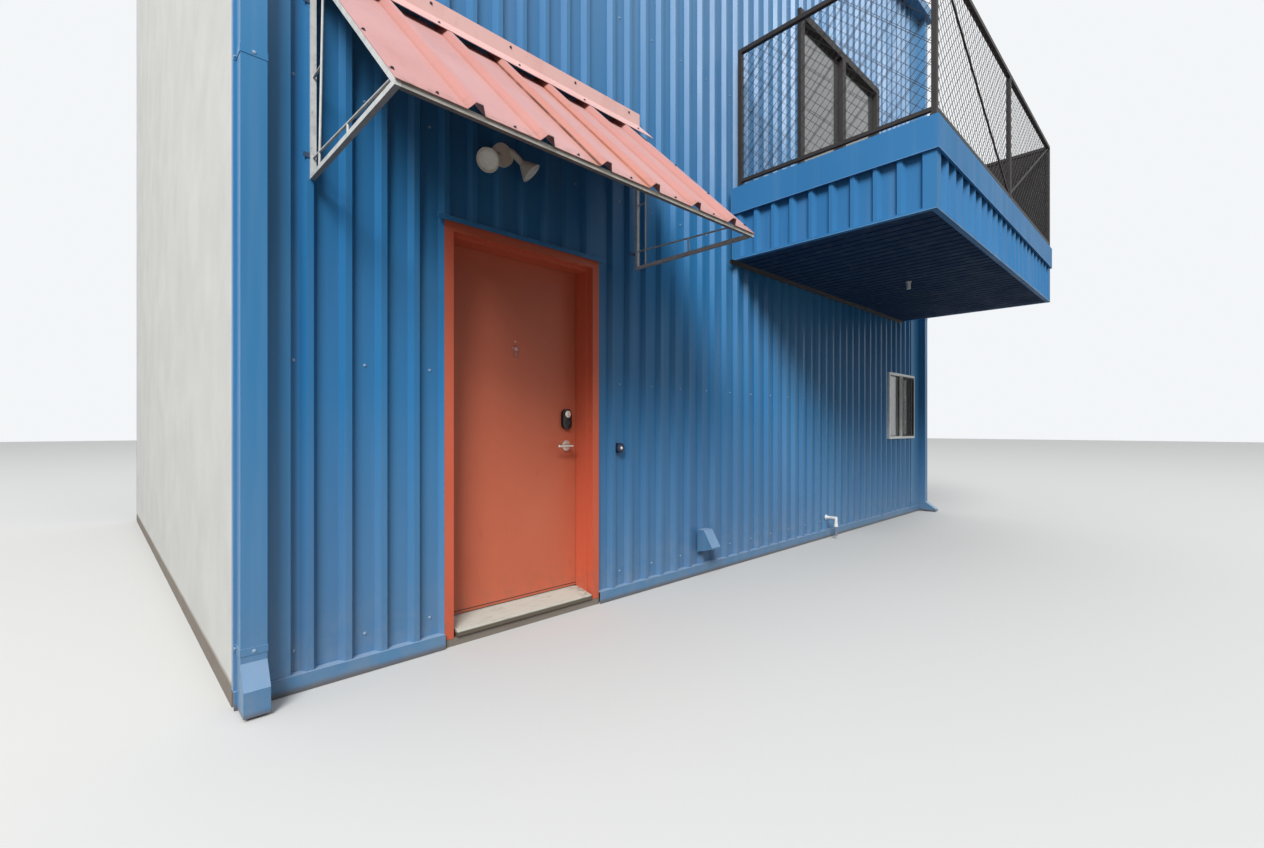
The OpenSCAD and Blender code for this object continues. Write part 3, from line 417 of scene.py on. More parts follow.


# The last setting of the wall and trim paints a sky reflection on their upper part
blue_wall = painted_sheet("blue_ribbed_paint", (0.020, 0.140, 0.320), (0.034, 0.185, 0.385),
                          painted_sky_reflection=0.35)
blue_trim = painted_sheet("blue_trim_paint", (0.030, 0.172, 0.365), (0.048, 0.212, 0.420),
                          wave=0.004, painted_sky_reflection=0.30)
blue_balcony = painted_sheet("blue_balcony_paint", (0.032, 0.158, 0.350), (0.046, 0.192, 0.400),
                             rough=0.48, wave=0.005, specular=0.10)
navy = painted_sheet("navy_soffit_paint", (0.010, 0.030, 0.075), (0.014, 0.038, 0.090), rough=0.75,
                     wave=0.002, dirt_top=0.01, specular=0.08)
red_sheet = awning_paint("faded_red_sheet", (0.43, 0.180, 0.155), (0.500, 0.278, 0.262),
                         [(0, 0.25, (0.34, 0.13, 0.10)), (1, 0.30, (0.34, 0.12, 0.08)),
                          (2, 1.00, (0.12, 0.038, 0.020)), (3, 0.90, (0.28, 0.085, 0.040)),
                          (4, 0.30, (0.32, 0.11, 0.07)), (5, 0.25, (0.34, 0.13, 0.10))])
red_cap = awning_paint("faded_red_cap", (0.56, 0.290, 0.265), (0.640, 0.400, 0.370))
terracotta = brushed_paint("terracotta_door_paint", (0.500, 0.116, 0.060), (0.550, 0.142, 0.078))
frame_red = brushed_paint("orange_red_frame_paint", (0.550, 0.105, 0.052), (0.590, 0.135, 0.072))
viewer_red = brushed_paint("viewer_paint", (0.330, 0.062, 0.036), (0.380, 0.080, 0.048), 0.25,
                           specular=0.6)
# Painted highlight: the viewer's lens and the stud above it are a pale pink standing in for their
# glints
viewer_highlight_pink = brushed_paint("viewer_painted_highlight", (0.620, 0.300, 0.240), (0.660, 0.340, 0.280), 0.2,
                            specular=0.6)
# Their under setting paints shade on faces pointing down, as for the lamp enamel below
white_left = worn_paint("left_bracket_paint", (0.58, 0.59, 0.57), 0.40, under=0.6,
                        tab_edge=bracket_low.x + 0.025)
white_right = worn_paint("right_bracket_paint", (0.58, 0.59, 0.57), 0.40, under=0.6,
                         tab_edge=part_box("awning_bracket_right")[0].x + 0.050)
dirty_tube = worn_paint("dirty_tube_paint", (0.44, 0.415, 0.375), 0.50, under=0.75, grime=0.6)
sill_paint = sill_metal("pale_sill_metal", (0.47, 0.47, 0.41))
lamp_enamel = worn_paint("dirty_lamp_enamel", (0.74, 0.68, 0.57), 0.10, under=0.1, grime=0.40)
bronze = worn_paint("dark_bronze_paint", (0.030, 0.026, 0.025), 0.25)
ledger_brown = worn_paint("dark_brown_steel", (0.036, 0.034, 0.038), 0.15, grime=0.6)
# Painted highlight: the balcony's edge lips are a paler blue for the bright line along their edge
bead_highlight_blue = painted_sheet("edge_lip_painted_highlight", (0.11, 0.27, 0.48), (0.15, 0.32, 0.54), wave=0.002)
nickel = metal("satin_nickel", (0.62, 0.57, 0.50))
# Screw heads: blue, made lighter and greyer than the wall as a painted highlight for their glints
screw_highlight_paint = plastic("screw_heads_with_painted_highlight", (0.28, 0.38, 0.50), 0.20)
dark_screw = worn_paint("dark_screw_heads", (0.045, 0.035, 0.040), 0.4)
black = plastic("black_keypad", (0.004, 0.004, 0.005), 0.18)
rubber = plastic("black_rubber", (0.012, 0.012, 0.013), 0.6)
wire_grey = plastic("screen_wire", (0.050, 0.050, 0.054), 0.5)
vinyl = plastic("off_white_vinyl", (0.80, 0.82, 0.79), 0.40)
lens_glass = plastic("cream_lens_glass", (0.92, 0.89, 0.78), 0.22)
lamp_parts = plastic("soffit_lamp_parts", (0.80, 0.80, 0.78), 0.35, (0.030, 0.035, 0.045),
                     lamp_low.z + LAMP_LENS)
pipe_parts = plastic("drain_pipe_plastic", (0.16, 0.20, 0.26), 0.5, (0.74, 0.76, 0.76),
                     drain_low.z + DRAIN_COLLAR)
navy_plastic = plastic("navy_plastic", (0.012, 0.022, 0.060), 0.4)
slat_cloth = woven("blind_slat_cloth", (0.36, 0.31, 0.26))
plaster = stone_like("painted_lining", (0.60, 0.595, 0.57), (0.53, 0.525, 0.50))
concrete = stone_like("cast_concrete", (0.46, 0.43, 0.38), (0.36, 0.33, 0.29), 14, soiled=0.08)
roofing = painted_sheet("coated_roof_sheet", (0.30, 0.31, 0.31), (0.36, 0.37, 0.365), rough=0.45,
                        wave=0.006, dirt_top=0.01)
deck_wood = timber("deck_boards", (0.27, 0.16, 0.095), (0.15, 0.085, 0.05), board=0.14)
joist_wood = timber("joist_timber", (0.42, 0.28, 0.16), (0.28, 0.17, 0.09))
# Painted shade: the deck's edge boards under the rails are near-black, for the dark gap there
shaded_board_timber = timber("board_edges_painted_shade", (0.050, 0.036, 0.028), (0.026, 0.020, 0.016))
pane = window_pane("window_pane")
screen = woven("dark_woven_screen", (0.026, 0.025, 0.024))

NODE_MATERIALS = {
    blue_wall: ["front_cladding_left", "front_cladding_right", "end_cladding", "rear_cladding",
                "door_head_cap"],
    blue_balcony: ["balcony_fascia", "balcony_band"],
    blue_trim: ["corner_trims", "base_trim", "roof_trim", "gutter", "downspout_left",
                "downspout_right", "vent_hood"],
    navy: ["balcony_soffit"],
    roofing: ["roof_sheet"],
    concrete: ["floor_slab", "upper_floor"],
    plaster: ["roof_deck", "front_wall_left", "front_wall_over_door", "front_wall_middle",
              "front_wall_window_panels", "front_wall_right", "upper_wall_left",
              "upper_wall_over_patio_door", "upper_wall_right", "party_wall", "end_wall",
              "rear_wall_piers", "rear_wall_panels"],
    frame_red: ["door_frame"],
    terracotta: ["door_leaf"],
    viewer_red: ["door_viewer"],
    sill_paint: ["door_sill"],
    nickel: ["hinge_frame_halves", "hinge_leaf_halves", "lever_roses", "door_lever"],
    black: ["door_deadbolt"],
    white_left: ["awning_bracket_left"],
    white_right: ["awning_bracket_right"],
    dirty_tube: ["awning_front_tube"],
    red_sheet: ["awning_sheet"],
    red_cap: ["awning_cap"],
    lamp_enamel: ["floodlight"],
    deck_wood: ["balcony_deck"],
    joist_wood: ["balcony_joists"],
    lamp_parts: ["soffit_lamp"],
    bronze: ["railing_near", "railing_front", "railing_far", "patio_door_frame"],
    screen: ["railing_screen"],
    vinyl: ["window_frames"],
    pane: ["patio_door_glass", "window_glass"],
    pipe_parts: ["drain_pipe"],
}
for material, names in NODE_MATERIALS.items():
    for name in names:
        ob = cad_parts[name]
        ob.data.materials.clear()
        ob.data.materials.append(material)


# Helpers that build meshes

class Shape:
    """Vertices and faces of one piece."""

    def __init__(self):
        self.verts = []
        self.faces = []

    def add(self, verts, faces):
        start = len(self.verts)
        self.verts += [tuple(v) for v in verts]
        self.faces += [tuple(start + i for i in f) for f in faces]

    def piece(self, name, material, body="building"):
        mesh = bpy.data.meshes.new(name)
        mesh.from_pydata(self.verts, [], self.faces)
        mesh.materials.append(material)
        mesh.update()
        ob = bpy.data.objects.new(name, mesh)
        bpy.context.collection.objects.link(ob)
        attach(ob, body)

    def box(self, low, high):
        verts = [(x, y, z) for z in (low[2], high[2])
                 for x, y in ((low[0], low[1]), (high[0], low[1]), (high[0], high[1]),
                              (low[0], high[1]))]
        self.add(verts, [(0, 3, 2, 1), (4, 5, 6, 7), (0, 1, 5, 4), (1, 2, 6, 5), (2, 3, 7, 6),
                         (3, 0, 4, 7)])

    def bar(self, a, b, wide, thick, face_normal):
        """A straight flat bar from a to b."""
        a, b, normal = Vector(a), Vector(b), Vector(face_normal)
        side = (b - a).normalized().cross(normal) * (wide / 2)
        out = normal * (thick / 2)
        verts = [p + s for p in (a, b) for s in (-side - out, side - out, side + out, out - side)]
        self.add(verts, [(0, 1, 2, 3), (7, 6, 5, 4), (0, 4, 5, 1), (1, 5, 6, 2), (2, 6, 7, 3),
                         (3, 7, 4, 0)])

    def turned(self, spot, out, profile, sides=24):
        """A closed turned shape; the profile lists (radius, height) and starts and ends at 0."""
        out = Vector(out).normalized()
        up = Vector((0, 0, 1)) if abs(out.z) < 0.9 else Vector((0, 1, 0))
        right = up.cross(out).normalized()
        up = out.cross(right)
        rings = profile[1:-1]
        verts = [Vector(spot) + out * profile[0][1], Vector(spot) + out * profile[-1][1]]
        for radius, height in rings:
            for k in range(sides):
                a = 2 * math.pi * k / sides
                rim = right * math.cos(a) + up * math.sin(a)
                verts.append(Vector(spot) + rim * radius + out * height)
        faces = []
        for k in range(sides):
            j = (k + 1) % sides
            faces.append((0, 2 + j, 2 + k))
            for r in range(len(rings) - 1):
                a, b = 2 + r * sides, 2 + (r + 1) * sides
                faces.append((a + k, a + j, b + j, b + k))
            last = 2 + (len(rings) - 1) * sides
            faces.append((1, last + k, last + j))
        self.add(verts, faces)

    def hex_screw(self, spot, out, size=0.0045):
        """A hex-head screw with a round washer, its head pointing along out."""
        out = Vector(out).normalized()
        up = Vector((0, 0, 1)) if abs(out.z) < 0.9 else Vector((0, 1, 0))
        right = up.cross(out).normalized()
        up = out.cross(right)
        spot = Vector(spot)
        turn = random.random()
        for sides, radius, low, high in ((10, size * 1.55, 0.0, 0.0016), (6, size, 0.0016, 0.0058)):
            verts = []
            for k in range(sides):
                a = 2 * math.pi * (k + turn) / sides
                rim = right * (math.cos(a) * radius) + up * (math.sin(a) * radius)
                verts += [spot + rim + out * low, spot + rim * 0.94 + out * high]
            faces = [(2 * k, 2 * ((k + 1) % sides), 2 * ((k + 1) % sides) + 1, 2 * k + 1)
                     for k in range(sides)]
            faces.append(tuple(2 * k + 1 for k in range(sides)))
            self.add(verts, faces)


# Screws in the cladding

SCREW_ROWS = (0.165, 1.385, 2.585, 3.785, 4.985, 6.10)
SCREW_STEP = 2 * PITCH
SCREW_MARGIN = 0.02
TRIM_SCREW = 0.212
WINDOW_HEIGHTS = (0.967, 1.778)
REAR_WINDOWS = ((1.50, 2.34), (5.31, 6.15))
REAR_WINDOW_HEIGHTS = ((0.94, 1.80), (3.89, 4.75))


def inside(x, z, low, high):
    """Whether a screw at x and z would fall on the front of a box, or too close to it."""
    return (low.x - SCREW_MARGIN < x < high.x + SCREW_MARGIN
            and low.z - SCREW_MARGIN < z < high.z + SCREW_MARGIN)


def pans(first_rib, last, skip=0):
    """Middles of every second pan to the right of the first rib."""
    x = first_rib + RIB_BASE + (PITCH - RIB_BASE) / 2 + skip * PITCH
    while x < last:
        yield x
        x += SCREW_STEP


door_low, door_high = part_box("door_frame")
window = [Vector((end.x, 0, z)) for end, z in zip((panels_low, panels_high), WINDOW_HEIGHTS)]

screws = Shape()
for z in SCREW_ROWS:
    for x in (LEFT + TRIM_SCREW, *pans(LEFT + FIRST_RIB, clad_left_high.x - SCREW_MARGIN, 1)):
        if not inside(x, z, door_low, door_high):
            screws.hex_screw((x, FRONT, z), OUT)
    for x in pans(clad_left_high.x + SECOND_RIB, clad_right_high.x - SCREW_MARGIN):
        covered = inside(x, z, patio_low, patio_high) or inside(x, z, *window)
        if not covered and not inside(x, z, fascia_low, fascia_high):
            screws.hex_screw((x, FRONT, z), OUT)
screws.piece("front_wall_screws", screw_highlight_paint)

back_screws = Shape()
for z in SCREW_ROWS[:-1]:
    for x in pans(LEFT + 2 * CORNER_TRIM, RIGHT - CORNER_TRIM - SCREW_MARGIN):
        at_window = any(a - SCREW_MARGIN < x - LEFT < b + SCREW_MARGIN for a, b in REAR_WINDOWS)
        if not (at_window and any(a < z < b for a, b in REAR_WINDOW_HEIGHTS)):
            back_screws.hex_screw((x, REAR, z), (0, 1, 0))
    for y in pans(FRONT + 2 * CORNER_TRIM, REAR - CORNER_TRIM - SCREW_MARGIN):
        back_screws.hex_screw((RIGHT, y, z), (1, 0, 0))
back_screws.piece("rear_and_end_wall_screws", screw_highlight_paint)


# Awning screws

rise = bracket_high.z - tube_high.z
run = FRONT - RIB - bracket_low.y
slope = Vector((0, run, rise)).normalized()
slope_out = Vector((0, -slope.z, slope.y))
slope_length = math.hypot(run, rise)
PAN_HEIGHT = 0.0036
CAP_HEIGHT = 0.0370
EDGE_SCREW = 0.012
CAP_SCREW = 0.10


def on_slope(x, along, height):
    foot = Vector((x, tube_low.y, tube_high.z))
    return foot + slope * (along * slope_length) + slope_out * height


dots = Shape()
for x in (sheet_low.x + EDGE_SCREW, sheet_high.x - EDGE_SCREW):
    for along in (0.06, 0.34, 0.62):
        dots.hex_screw(on_slope(x, along, PAN_HEIGHT), slope_out, 0.0055)
for i in range(6):
    x = sheet_low.x + AWNING_RIB + i * AWNING_PITCH - 0.10
    dots.hex_screw(on_slope(x, 0.012, PAN_HEIGHT), slope_out, 0.0045)
for i in range(5):
    x = cap_low.x + CAP_SCREW + i * (cap_high.x - cap_low.x - 2 * CAP_SCREW) / 4
    dots.hex_screw(on_slope(x, 0.93, CAP_HEIGHT), slope_out, 0.0050)
    dots.hex_screw((x, cap_high.y - 0.0032, cap_high.z - 0.025), OUT, 0.0050)
dots.piece("awning_screws", dark_screw)


# Downspout rivets and strap bolts

STRAP_HEIGHTS = (0.242, 2.547, 4.714)
STRAP_FACE = 0.082
STRAP_TAB = 0.049
TAB_THICKNESS = 0.002
LEFT_SPOUT = 0.054
RIGHT_SPOUT = 0.091
rivets = Shape()
for z in STRAP_HEIGHTS:
    for x in (LEFT + LEFT_SPOUT, RIGHT - RIGHT_SPOUT):
        spot = (x, FRONT - RIB - STRAP_FACE, z)
        rivets.turned(spot, OUT, [(0, 0), (0.007, 0), (0.006, 0.0022), (0, 0.0034)], 16)
        for side in (-1, 1):
            tab = (x + side * STRAP_TAB, FRONT - RIB - TAB_THICKNESS, z)
            rivets.hex_screw(tab, OUT, 0.0032)
rivets.piece("downspout_rivets", screw_highlight_paint)


# Railing mesh

def diamond_mesh(name, origin, right, width, height, material, step=0.075, wide=0.0026):
    """Fine diamond wires over a panel, in step with the main wires through its middle."""
    net = Shape()
    origin, right, up = Vector(origin), Vector(right), Vector((0, 0, 1))
    normal = right.cross(up)
    count = int((width + height) / 2 / step) + 1
    for lean in (1, -1):
        for k in range(-count, count + 1):
            at_middle = width / 2 + k * step
            first, last = at_middle - lean * height / 2, at_middle + lean * height / 2
            ends = []
            for a, v in ((first, 0.0), (last, height)):
                inner = min(max(a, 0.0), width)
                ends.append((inner, v + lean * (inner - a)))
            (a0, v0), (a1, v1) = ends
            if v1 - v0 > 0.01 and 0 <= v0 and v1 <= height:
                net.bar(origin + right * a0 + up * v0, origin + right * a1 + up * v1, wide, wide,
                        normal)
    net.piece(name, material)


rail_foot = band_high.z + RAIL_FOOT
rail_height = front_rail_high.z - POST - rail_foot
front_y = front_rail_low.y + POST / 2
near_x = near_rail_low.x + POST / 2
far_x = far_rail_low.x + POST / 2
side_length = near_rail_high.y - POST - near_rail_low.y
diamond_mesh("front_railing_mesh", (front_rail_low.x + POST, front_y, rail_foot), (1, 0, 0),
             front_rail_high.x - front_rail_low.x - 2 * POST, rail_height, bronze)
diamond_mesh("near_railing_mesh", (near_x, near_rail_low.y, rail_foot), (0, 1, 0), side_length,
             rail_height, bronze)
diamond_mesh("far_railing_mesh", (far_x, far_rail_low.y, rail_foot), (0, 1, 0), side_length,
             rail_height, bronze)


# Balcony edges and the steel angle along the wall

BEAD = 0.003
beads = Shape()


def edge_bead(low, high):
    """A thin folded lip round the foot of a box, along the three free sides of its plan."""
    z = low.z + BEAD
    beads.box((low.x - BEAD, low.y - BEAD, z - BEAD), (high.x + BEAD, low.y, z))
    for x in (low.x - BEAD, high.x):
        beads.box((x, low.y, z - BEAD), (x + BEAD, high.y, z))


# The lips carry the paler blue of a painted highlight
edge_bead(band_low, band_high)
edge_bead(fascia_low, fascia_high)
beads.piece("balcony_edge_lips", bead_highlight_blue)

# Board edges in the gap under the bottom rails, near-black as painted shade
BOARD = 0.009
BOARD_GAP = 0.003
boards = Shape()
foot, top = band_high.z, band_high.z + 0.026
front_board = front_rail_high.y + BOARD_GAP
boards.box((near_x, front_board, foot), (far_x, front_board + BOARD, top))
for x in (near_rail_high.x + BOARD_GAP, far_rail_low.x - BOARD_GAP - BOARD):
    boards.box((x, near_rail_low.y, foot), (x + BOARD, near_rail_high.y, top))
boards.piece("deck_edge_boards", shaded_board_timber)

ANGLE = 0.030
ANGLE_T = 0.004
wall_face = FRONT - RIB
angle_top = fascia_low.z
angle_near, angle_far = fascia_low.x - 0.028, fascia_high.x - 0.01
angle = Shape()
angle.box((angle_near, wall_face - ANGLE_T, angle_top - ANGLE),
          (angle_far, wall_face, angle_top - ANGLE_T))
angle.box((angle_near, wall_face - ANGLE, angle_top - ANGLE_T),
          (angle_far, wall_face, angle_top))
angle.piece("soffit_wall_angle", ledger_brown)


# Windows and patio door: gaskets, insect screens and a blind

def pane_boxes(node):
    """Low and high corners of each loose solid in a node's mesh."""
    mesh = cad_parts[node].data
    corners = [tuple(round(c, 4) for c in v.co) for v in mesh.vertices]
    group = {c: c for c in corners}

    def root(c):
        while group[c] != c:
            c = group[c]
        return c

    for edge in mesh.edges:
        a, b = edge.vertices
        group[root(corners[a])] = root(corners[b])
    boxes = {}
    for c in group:
        low, high = boxes.setdefault(root(c), (Vector(c), Vector(c)))
        for i in range(3):
            low[i] = min(low[i], c[i])
            high[i] = max(high[i], c[i])
    return list(boxes.values())


GASKET = 0.007
GASKET_DEPTH = 0.006
gaskets = Shape()
for low, high in pane_boxes("window_glass") + pane_boxes("patio_door_glass"):
    at_front = low.y < 0
    y0, y1 = (low.y - GASKET_DEPTH, low.y) if at_front else (high.y, high.y + GASKET_DEPTH)
    for z in (low.z, high.z - GASKET):
        gaskets.box((low.x, y0, z), (high.x, y1, z + GASKET))
    for x in (low.x, high.x - GASKET):
        gaskets.box((x, y0, low.z + GASKET), (x + GASKET, y1, high.z - GASKET))
gaskets.piece("glazing_gaskets", rubber)

# Insect screens over one half of each window
WIRE_STEP = 0.008
WIRE = 0.0008
WIRE_IN = 0.012
RIM = 0.018
RIM_OUT = 0.003
RIM_IN = 0.014
RIM_LAP = 0.002
RIM_ON_BAR = 0.022
frames_low, frames_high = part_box("window_frames")
halves = sorted(pane_boxes("window_glass"),
                key=lambda b: (round(b[0].y, 2), round(b[0].z, 2), b[0].x))
wires = Shape()
rims = Shape()
for low, high in halves[1::2]:
    at_front = low.y < 0
    face = frames_low.y if at_front else frames_high.y
    out = OUT if at_front else -OUT
    y = face - out.y * WIRE_IN
    for k in range(1, int((high.x - low.x) / WIRE_STEP)):
        x = low.x + k * WIRE_STEP
        wires.bar((x, y, low.z), (x, y, high.z), WIRE, WIRE, OUT)
    for k in range(1, int((high.z - low.z) / WIRE_STEP)):
        z = low.z + k * WIRE_STEP
        wires.bar((low.x, y, z), (high.x, y, z), WIRE, WIRE, OUT)
    y0, y1 = sorted((face + out.y * RIM_OUT, face - out.y * RIM_IN))
    x0, x1 = low.x - RIM_ON_BAR, high.x + RIM_LAP
    z0, z1 = low.z - RIM_LAP, high.z + RIM_LAP
    for z in (z0, z1 - RIM):
        rims.box((x0, y0, z), (x1, y1, z + RIM))
    for x in (x0, x1 - RIM):
        rims.box((x, y0, z0 + RIM), (x + RIM, y1, z1 - RIM))
wires.piece("insect_screen_wires", wire_grey)
rims.piece("insect_screen_rims", bronze)

# Upright curved slats behind the patio door
SLAT = 0.088
SLAT_CROWN = 0.007
SLAT_THICKNESS = 0.0012
FIRST_SLAT = 0.10
SLATS_OFF = 3 * FIRST_SLAT
tilt = math.radians(20)
across = Vector((math.cos(tilt), math.sin(tilt), 0)) * SLAT * 0.55
crown = Vector((-math.sin(tilt), math.cos(tilt), 0)) * SLAT_CROWN
thick = crown.normalized() * SLAT_THICKNESS
patio_inside = patio_high.y + 0.035
slat_foot, slat_top = patio_low.z + 0.09, patio_high.z - 0.10
slats = Shape()
for k in range(int((patio_high.x - patio_low.x - SLATS_OFF) / SLAT)):
    x = patio_low.x + FIRST_SLAT + k * SLAT
    middle = Vector((x + SLAT / 2, patio_inside, 0))
    plan = [middle - across, middle - across / 2 + crown * 0.75, middle + crown,
            middle + across / 2 + crown * 0.75, middle + across]
    plan += [p + thick for p in reversed(plan)]
    verts = [(p.x, p.y, z) for z in (slat_foot, slat_top) for p in plan]
    count = len(plan)
    sides = [(i, (i + 1) % count, count + (i + 1) % count, count + i) for i in range(count)]
    slats.add(verts, [tuple(reversed(range(count))), tuple(range(count, 2 * count)), *sides])
slats.box((patio_low.x + 0.09, patio_inside - 0.02, slat_top),
          (patio_high.x - 0.09, patio_inside + 0.02, slat_top + 0.025))
slats.piece("patio_door_blind_slats", slat_cloth)


# Lamp lenses, lock face, viewer and the round fitting on the wall

def lamp_rim(direction):
    """Middle of the floodlight's rim that lies farthest along a direction."""
    points = [v.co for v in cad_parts["floodlight"].data.vertices]
    reach = max(p.dot(direction) for p in points)
    rim = [p for p in points if p.dot(direction) > reach - 0.0005]
    return sum(rim, Vector()) / len(rim)


def lamp_direction(turn, drop):
    """Where a lamp head points, turned from straight out and dropped below the level."""
    turn, drop = math.radians(turn), math.radians(drop)
    return Vector((math.cos(drop) * math.sin(turn), -math.cos(drop) * math.cos(turn),
                   -math.sin(drop)))


# Turn and drop of each lamp head in degrees
LAMP_HEADS = ((-54, 33), (58, 45))
LENS_INSET = 0.0078
lenses = Shape()
for turn, drop in LAMP_HEADS:
    direction = lamp_direction(turn, drop)
    spot = lamp_rim(direction) - direction * LENS_INSET
    lenses.turned(spot, direction, [(0, 0), (0.050, 0), (0.050, 0.003), (0.045, 0.0052),
                                    (0.043, 0.0034), (0.038, 0.0052), (0.024, 0.0066),
                                    (0.010, 0.0072), (0, 0.0073)], 32)
lenses.piece("floodlight_lenses", lens_glass)

# Key cylinder in the keypad's upper half, and a button below it
CYLINDER_UP = 0.031
BUTTON_DOWN = 0.055
lock_x = (bolt_low.x + bolt_high.x) / 2
lock_z = (bolt_low.z + bolt_high.z) / 2 + CYLINDER_UP
lock = Shape()
lock.turned((lock_x, bolt_low.y, lock_z), OUT,
            [(0, 0), (0.0225, 0), (0.0225, 0.0008), (0.0200, 0.0022), (0.0115, 0.0022),
             (0.0105, 0.0012), (0.0095, 0.0028), (0.0080, 0.0034), (0, 0.0034)], 28)
lock.piece("lock_cylinder_face", nickel, body="door")
slot_cut = Shape()
slot_cut.box((lock_x - 0.0008, bolt_low.y - 0.0037, lock_z - 0.0055),
             (lock_x + 0.0008, bolt_low.y - 0.0030, lock_z + 0.0055))
slot_cut.turned((lock_x, bolt_low.y + 0.006, lock_z - BUTTON_DOWN), OUT,
                [(0, 0), (0.0165, 0), (0.0165, 0.0012), (0.0145, 0.0020), (0.0130, 0.0006),
                 (0, 0.0006)], 28)
slot_cut.piece("lock_keyway_and_button", rubber, body="door")

VIEWER_RADIUS = 0.016
STUD_UP = 0.043
viewer_x = (viewer_low.x + viewer_high.x) / 2
viewer_z = viewer_high.z - VIEWER_RADIUS
collar = Shape()
collar.turned((viewer_x, leaf_low.y, viewer_z), OUT,
              [(0, 0), (0.0250, 0), (0.0250, 0.0015), (0.0220, 0.0040), (0.0165, 0.0048),
               (0, 0.0048)], 28)
collar.piece("viewer_collar", viewer_red, body="door")
# Lens and stud in the pale pink of a painted highlight
viewer = Shape()
viewer.turned((viewer_x, viewer_low.y, viewer_z), OUT,
              [(0, 0), (0.0100, 0), (0.0095, 0.0018), (0.0060, 0.0026), (0, 0.0030)], 20)
viewer.turned((viewer_x, leaf_low.y, viewer_z + STUD_UP), OUT,
              [(0, 0), (0.0080, 0), (0.0070, 0.0030), (0.0040, 0.0050), (0, 0.0054)], 20)
viewer.piece("viewer_lens_and_stud", viewer_highlight_pink, body="door")

# Dark seals along the leaf's lock edge and foot; the lock-edge strip also stands as painted shade
# for the gap there
SEAL = 0.004
SEAL_PROUD = 0.0008
seal_y = leaf_low.y - SEAL_PROUD
foot_seal = leaf_low.z + 0.012
seals = Shape()
seals.box((leaf_high.x - SEAL, seal_y, leaf_low.z), (leaf_high.x, leaf_low.y, leaf_high.z))
seals.box((leaf_low.x, seal_y, foot_seal), (leaf_high.x - SEAL, leaf_low.y, foot_seal + SEAL))
seals.piece("door_edge_seals_and_gap_shade", rubber, body="door")

FITTING_X = LEFT + 2.058
FITTING_Z = 0.970
EYE_SEAT = 0.045
fitting = Shape()
fitting.turned((FITTING_X, FRONT, FITTING_Z), OUT,
               [(0, 0), (0.033, 0), (0.033, 0.038), (0.030, 0.046), (0.022, 0.051),
                (0.014, 0.051), (0.012, EYE_SEAT), (0, EYE_SEAT)], 28)
fitting.piece("round_wall_fitting", navy_plastic)
eye = Shape()
eye.turned((FITTING_X, FRONT - EYE_SEAT, FITTING_Z), OUT,
           [(0, 0), (0.0115, 0), (0.0105, 0.004), (0.006, 0.007), (0, 0.008)], 20)
eye.piece("round_fitting_eye", lens_glass)


# Stage: floor, world and lamp

def add_seen_factor(tree):
    """1 for rays that show the background, straight or through metal and glass."""
    path = tree.nodes.new("ShaderNodeLightPath")
    total = path.outputs["Is Camera Ray"]
    for name in ("Is Glossy Ray", "Is Transmission Ray"):
        node = tree.nodes.new("ShaderNodeMath")
        node.operation = "MAXIMUM"
        tree.links.new(total, node.inputs[0])
        tree.links.new(path.outputs[name], node.inputs[1])
        total = node.outputs[0]
    return total


FLOOR_SEEN = (0.53, 0.525, 0.51)
FLOOR_BOUNCE = (0.15, 0.145, 0.135)
BACKDROP = (0.90, 0.92, 0.94)
SKY_LOW = 0.15
SKY_HIGH = 1.35
FLOOR_HALF = 60

floor_mesh = bpy.data.meshes.new("floor")
corners = [(x * FLOOR_HALF, y * FLOOR_HALF, 0) for x, y in ((-1, -1), (1, -1), (1, 1), (-1, 1))]
floor_mesh.from_pydata(corners, [], [(0, 1, 2, 3)])
floor = bpy.data.objects.new("floor", floor_mesh)
bpy.context.collection.objects.link(floor)
floor_material, fn = new_material("pale_floor", FLOOR_SEEN, 0.9, specular=0.2)
fn.colour(fn.mix(add_seen_factor(fn.tree), FLOOR_BOUNCE, FLOOR_SEEN))
floor_mesh.materials.append(floor_material)
floor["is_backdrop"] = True

world = bpy.data.worlds.new("studio")
bpy.context.scene.world = world
world.use_nodes = True
tree = world.node_tree
tree.nodes.clear()
output = tree.nodes.new("ShaderNodeOutputWorld")
light = tree.nodes.new("ShaderNodeBackground")
seen = tree.nodes.new("ShaderNodeBackground")
blend = tree.nodes.new("ShaderNodeMixShader")
light.inputs["Color"].default_value = (0.94, 0.97, 1.0, 1)
seen.inputs["Color"].default_value = (*BACKDROP, 1)
height = tree.nodes.new("ShaderNodeSeparateXYZ")
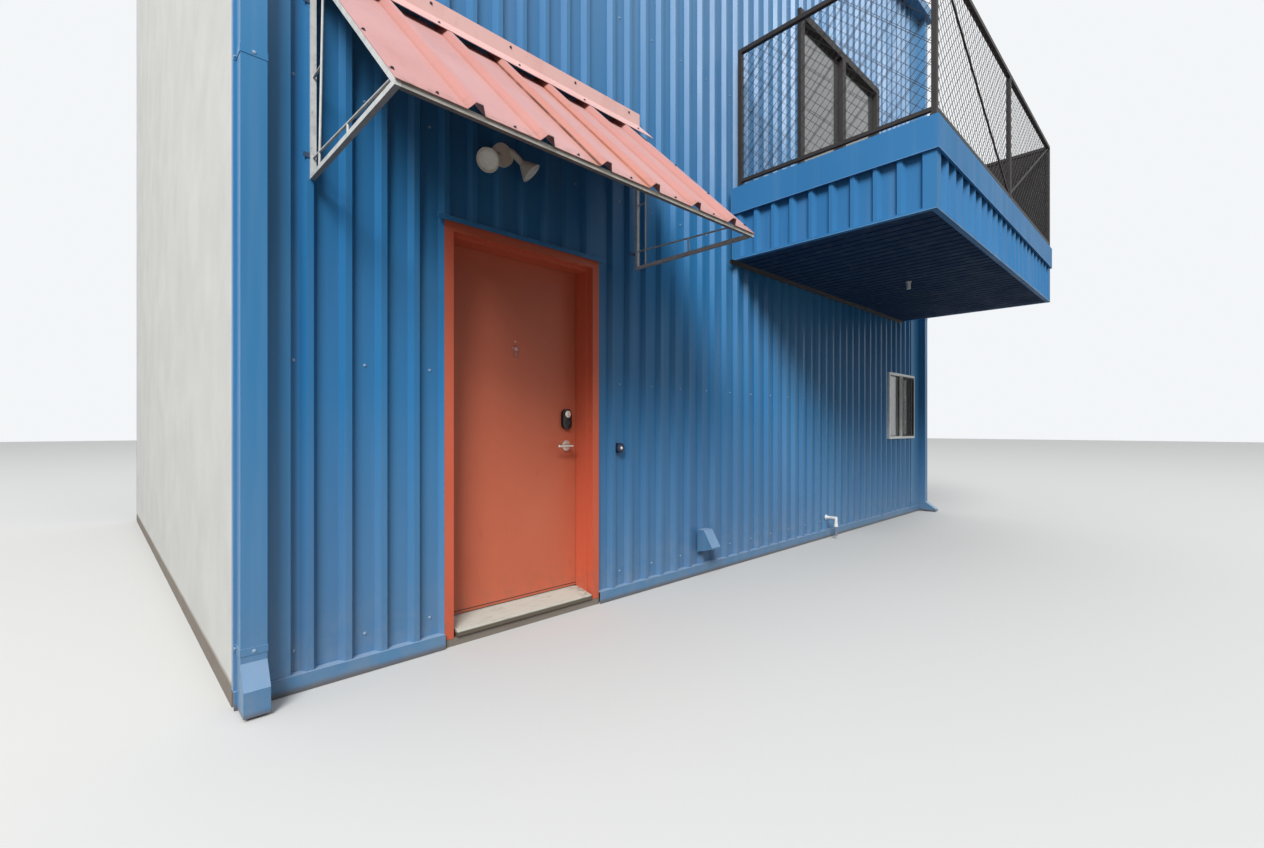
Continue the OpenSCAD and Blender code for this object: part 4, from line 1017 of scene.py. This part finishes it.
tree.links.new(tree.nodes.new("ShaderNodeTexCoord").outputs["Generated"], height.inputs[0])
rise_map = tree.nodes.new("ShaderNodeMapRange")
rise_map.inputs["From Min"].default_value = 0.0
rise_map.inputs["From Max"].default_value = 0.9
rise_map.inputs["To Min"].default_value = SKY_LOW
rise_map.inputs["To Max"].default_value = SKY_HIGH
tree.links.new(height.outputs["Z"], rise_map.inputs["Value"])
tree.links.new(rise_map.outputs["Result"], light.inputs["Strength"])
tree.links.new(add_seen_factor(tree), blend.inputs["Fac"])
tree.links.new(light.outputs[0], blend.inputs[1])
tree.links.new(seen.outputs[0], blend.inputs[2])
tree.links.new(blend.outputs[0], output.inputs["Surface"])


def softbox(name, place, target, size, power):
    """A square area lamp aimed at a target."""
    data = bpy.data.lights.new(name, "AREA")
    data.shape = "SQUARE"
    data.size = size
    data.energy = power
    ob = bpy.data.objects.new(name, data)
    bpy.context.collection.objects.link(ob)
    ob.location = place
    ob.rotation_euler = (Vector(target) - Vector(place)).to_track_quat("-Z", "Y").to_euler()


softbox("key", (-23.0, -21.0, 24.0), (0.0, -2.5, 2.0), 14.0, 15000)


# Camera, with its focal length and shift in pixels of the picture's width

PICTURE_W = 1264
FOCAL = 555.4
SHIFT_UP = 3.95
TURN = -44.336
EYE_LEFT = 0.40
EYE_OUT = 2.66
EYE_HEIGHT = 1.10

cam_data = bpy.data.cameras.new("camera")
cam = bpy.data.objects.new("camera", cam_data)
bpy.context.collection.objects.link(cam)
cam_data.sensor_width = 36.0
cam_data.lens = cam_data.sensor_width * FOCAL / PICTURE_W
cam_data.shift_y = SHIFT_UP / PICTURE_W
cam_data.clip_start = 0.05
cam_data.clip_end = 300
cam.location = (LEFT - EYE_LEFT, FRONT - EYE_OUT, EYE_HEIGHT)
cam.rotation_euler = (math.radians(90), 0, math.radians(TURN))
scene = bpy.context.scene
scene.camera = cam
scene.view_settings.view_transform = "Standard"

low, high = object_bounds()
{"cad": [list(cad_low), list(cad_high)], "visual": [list(low), list(high)]}
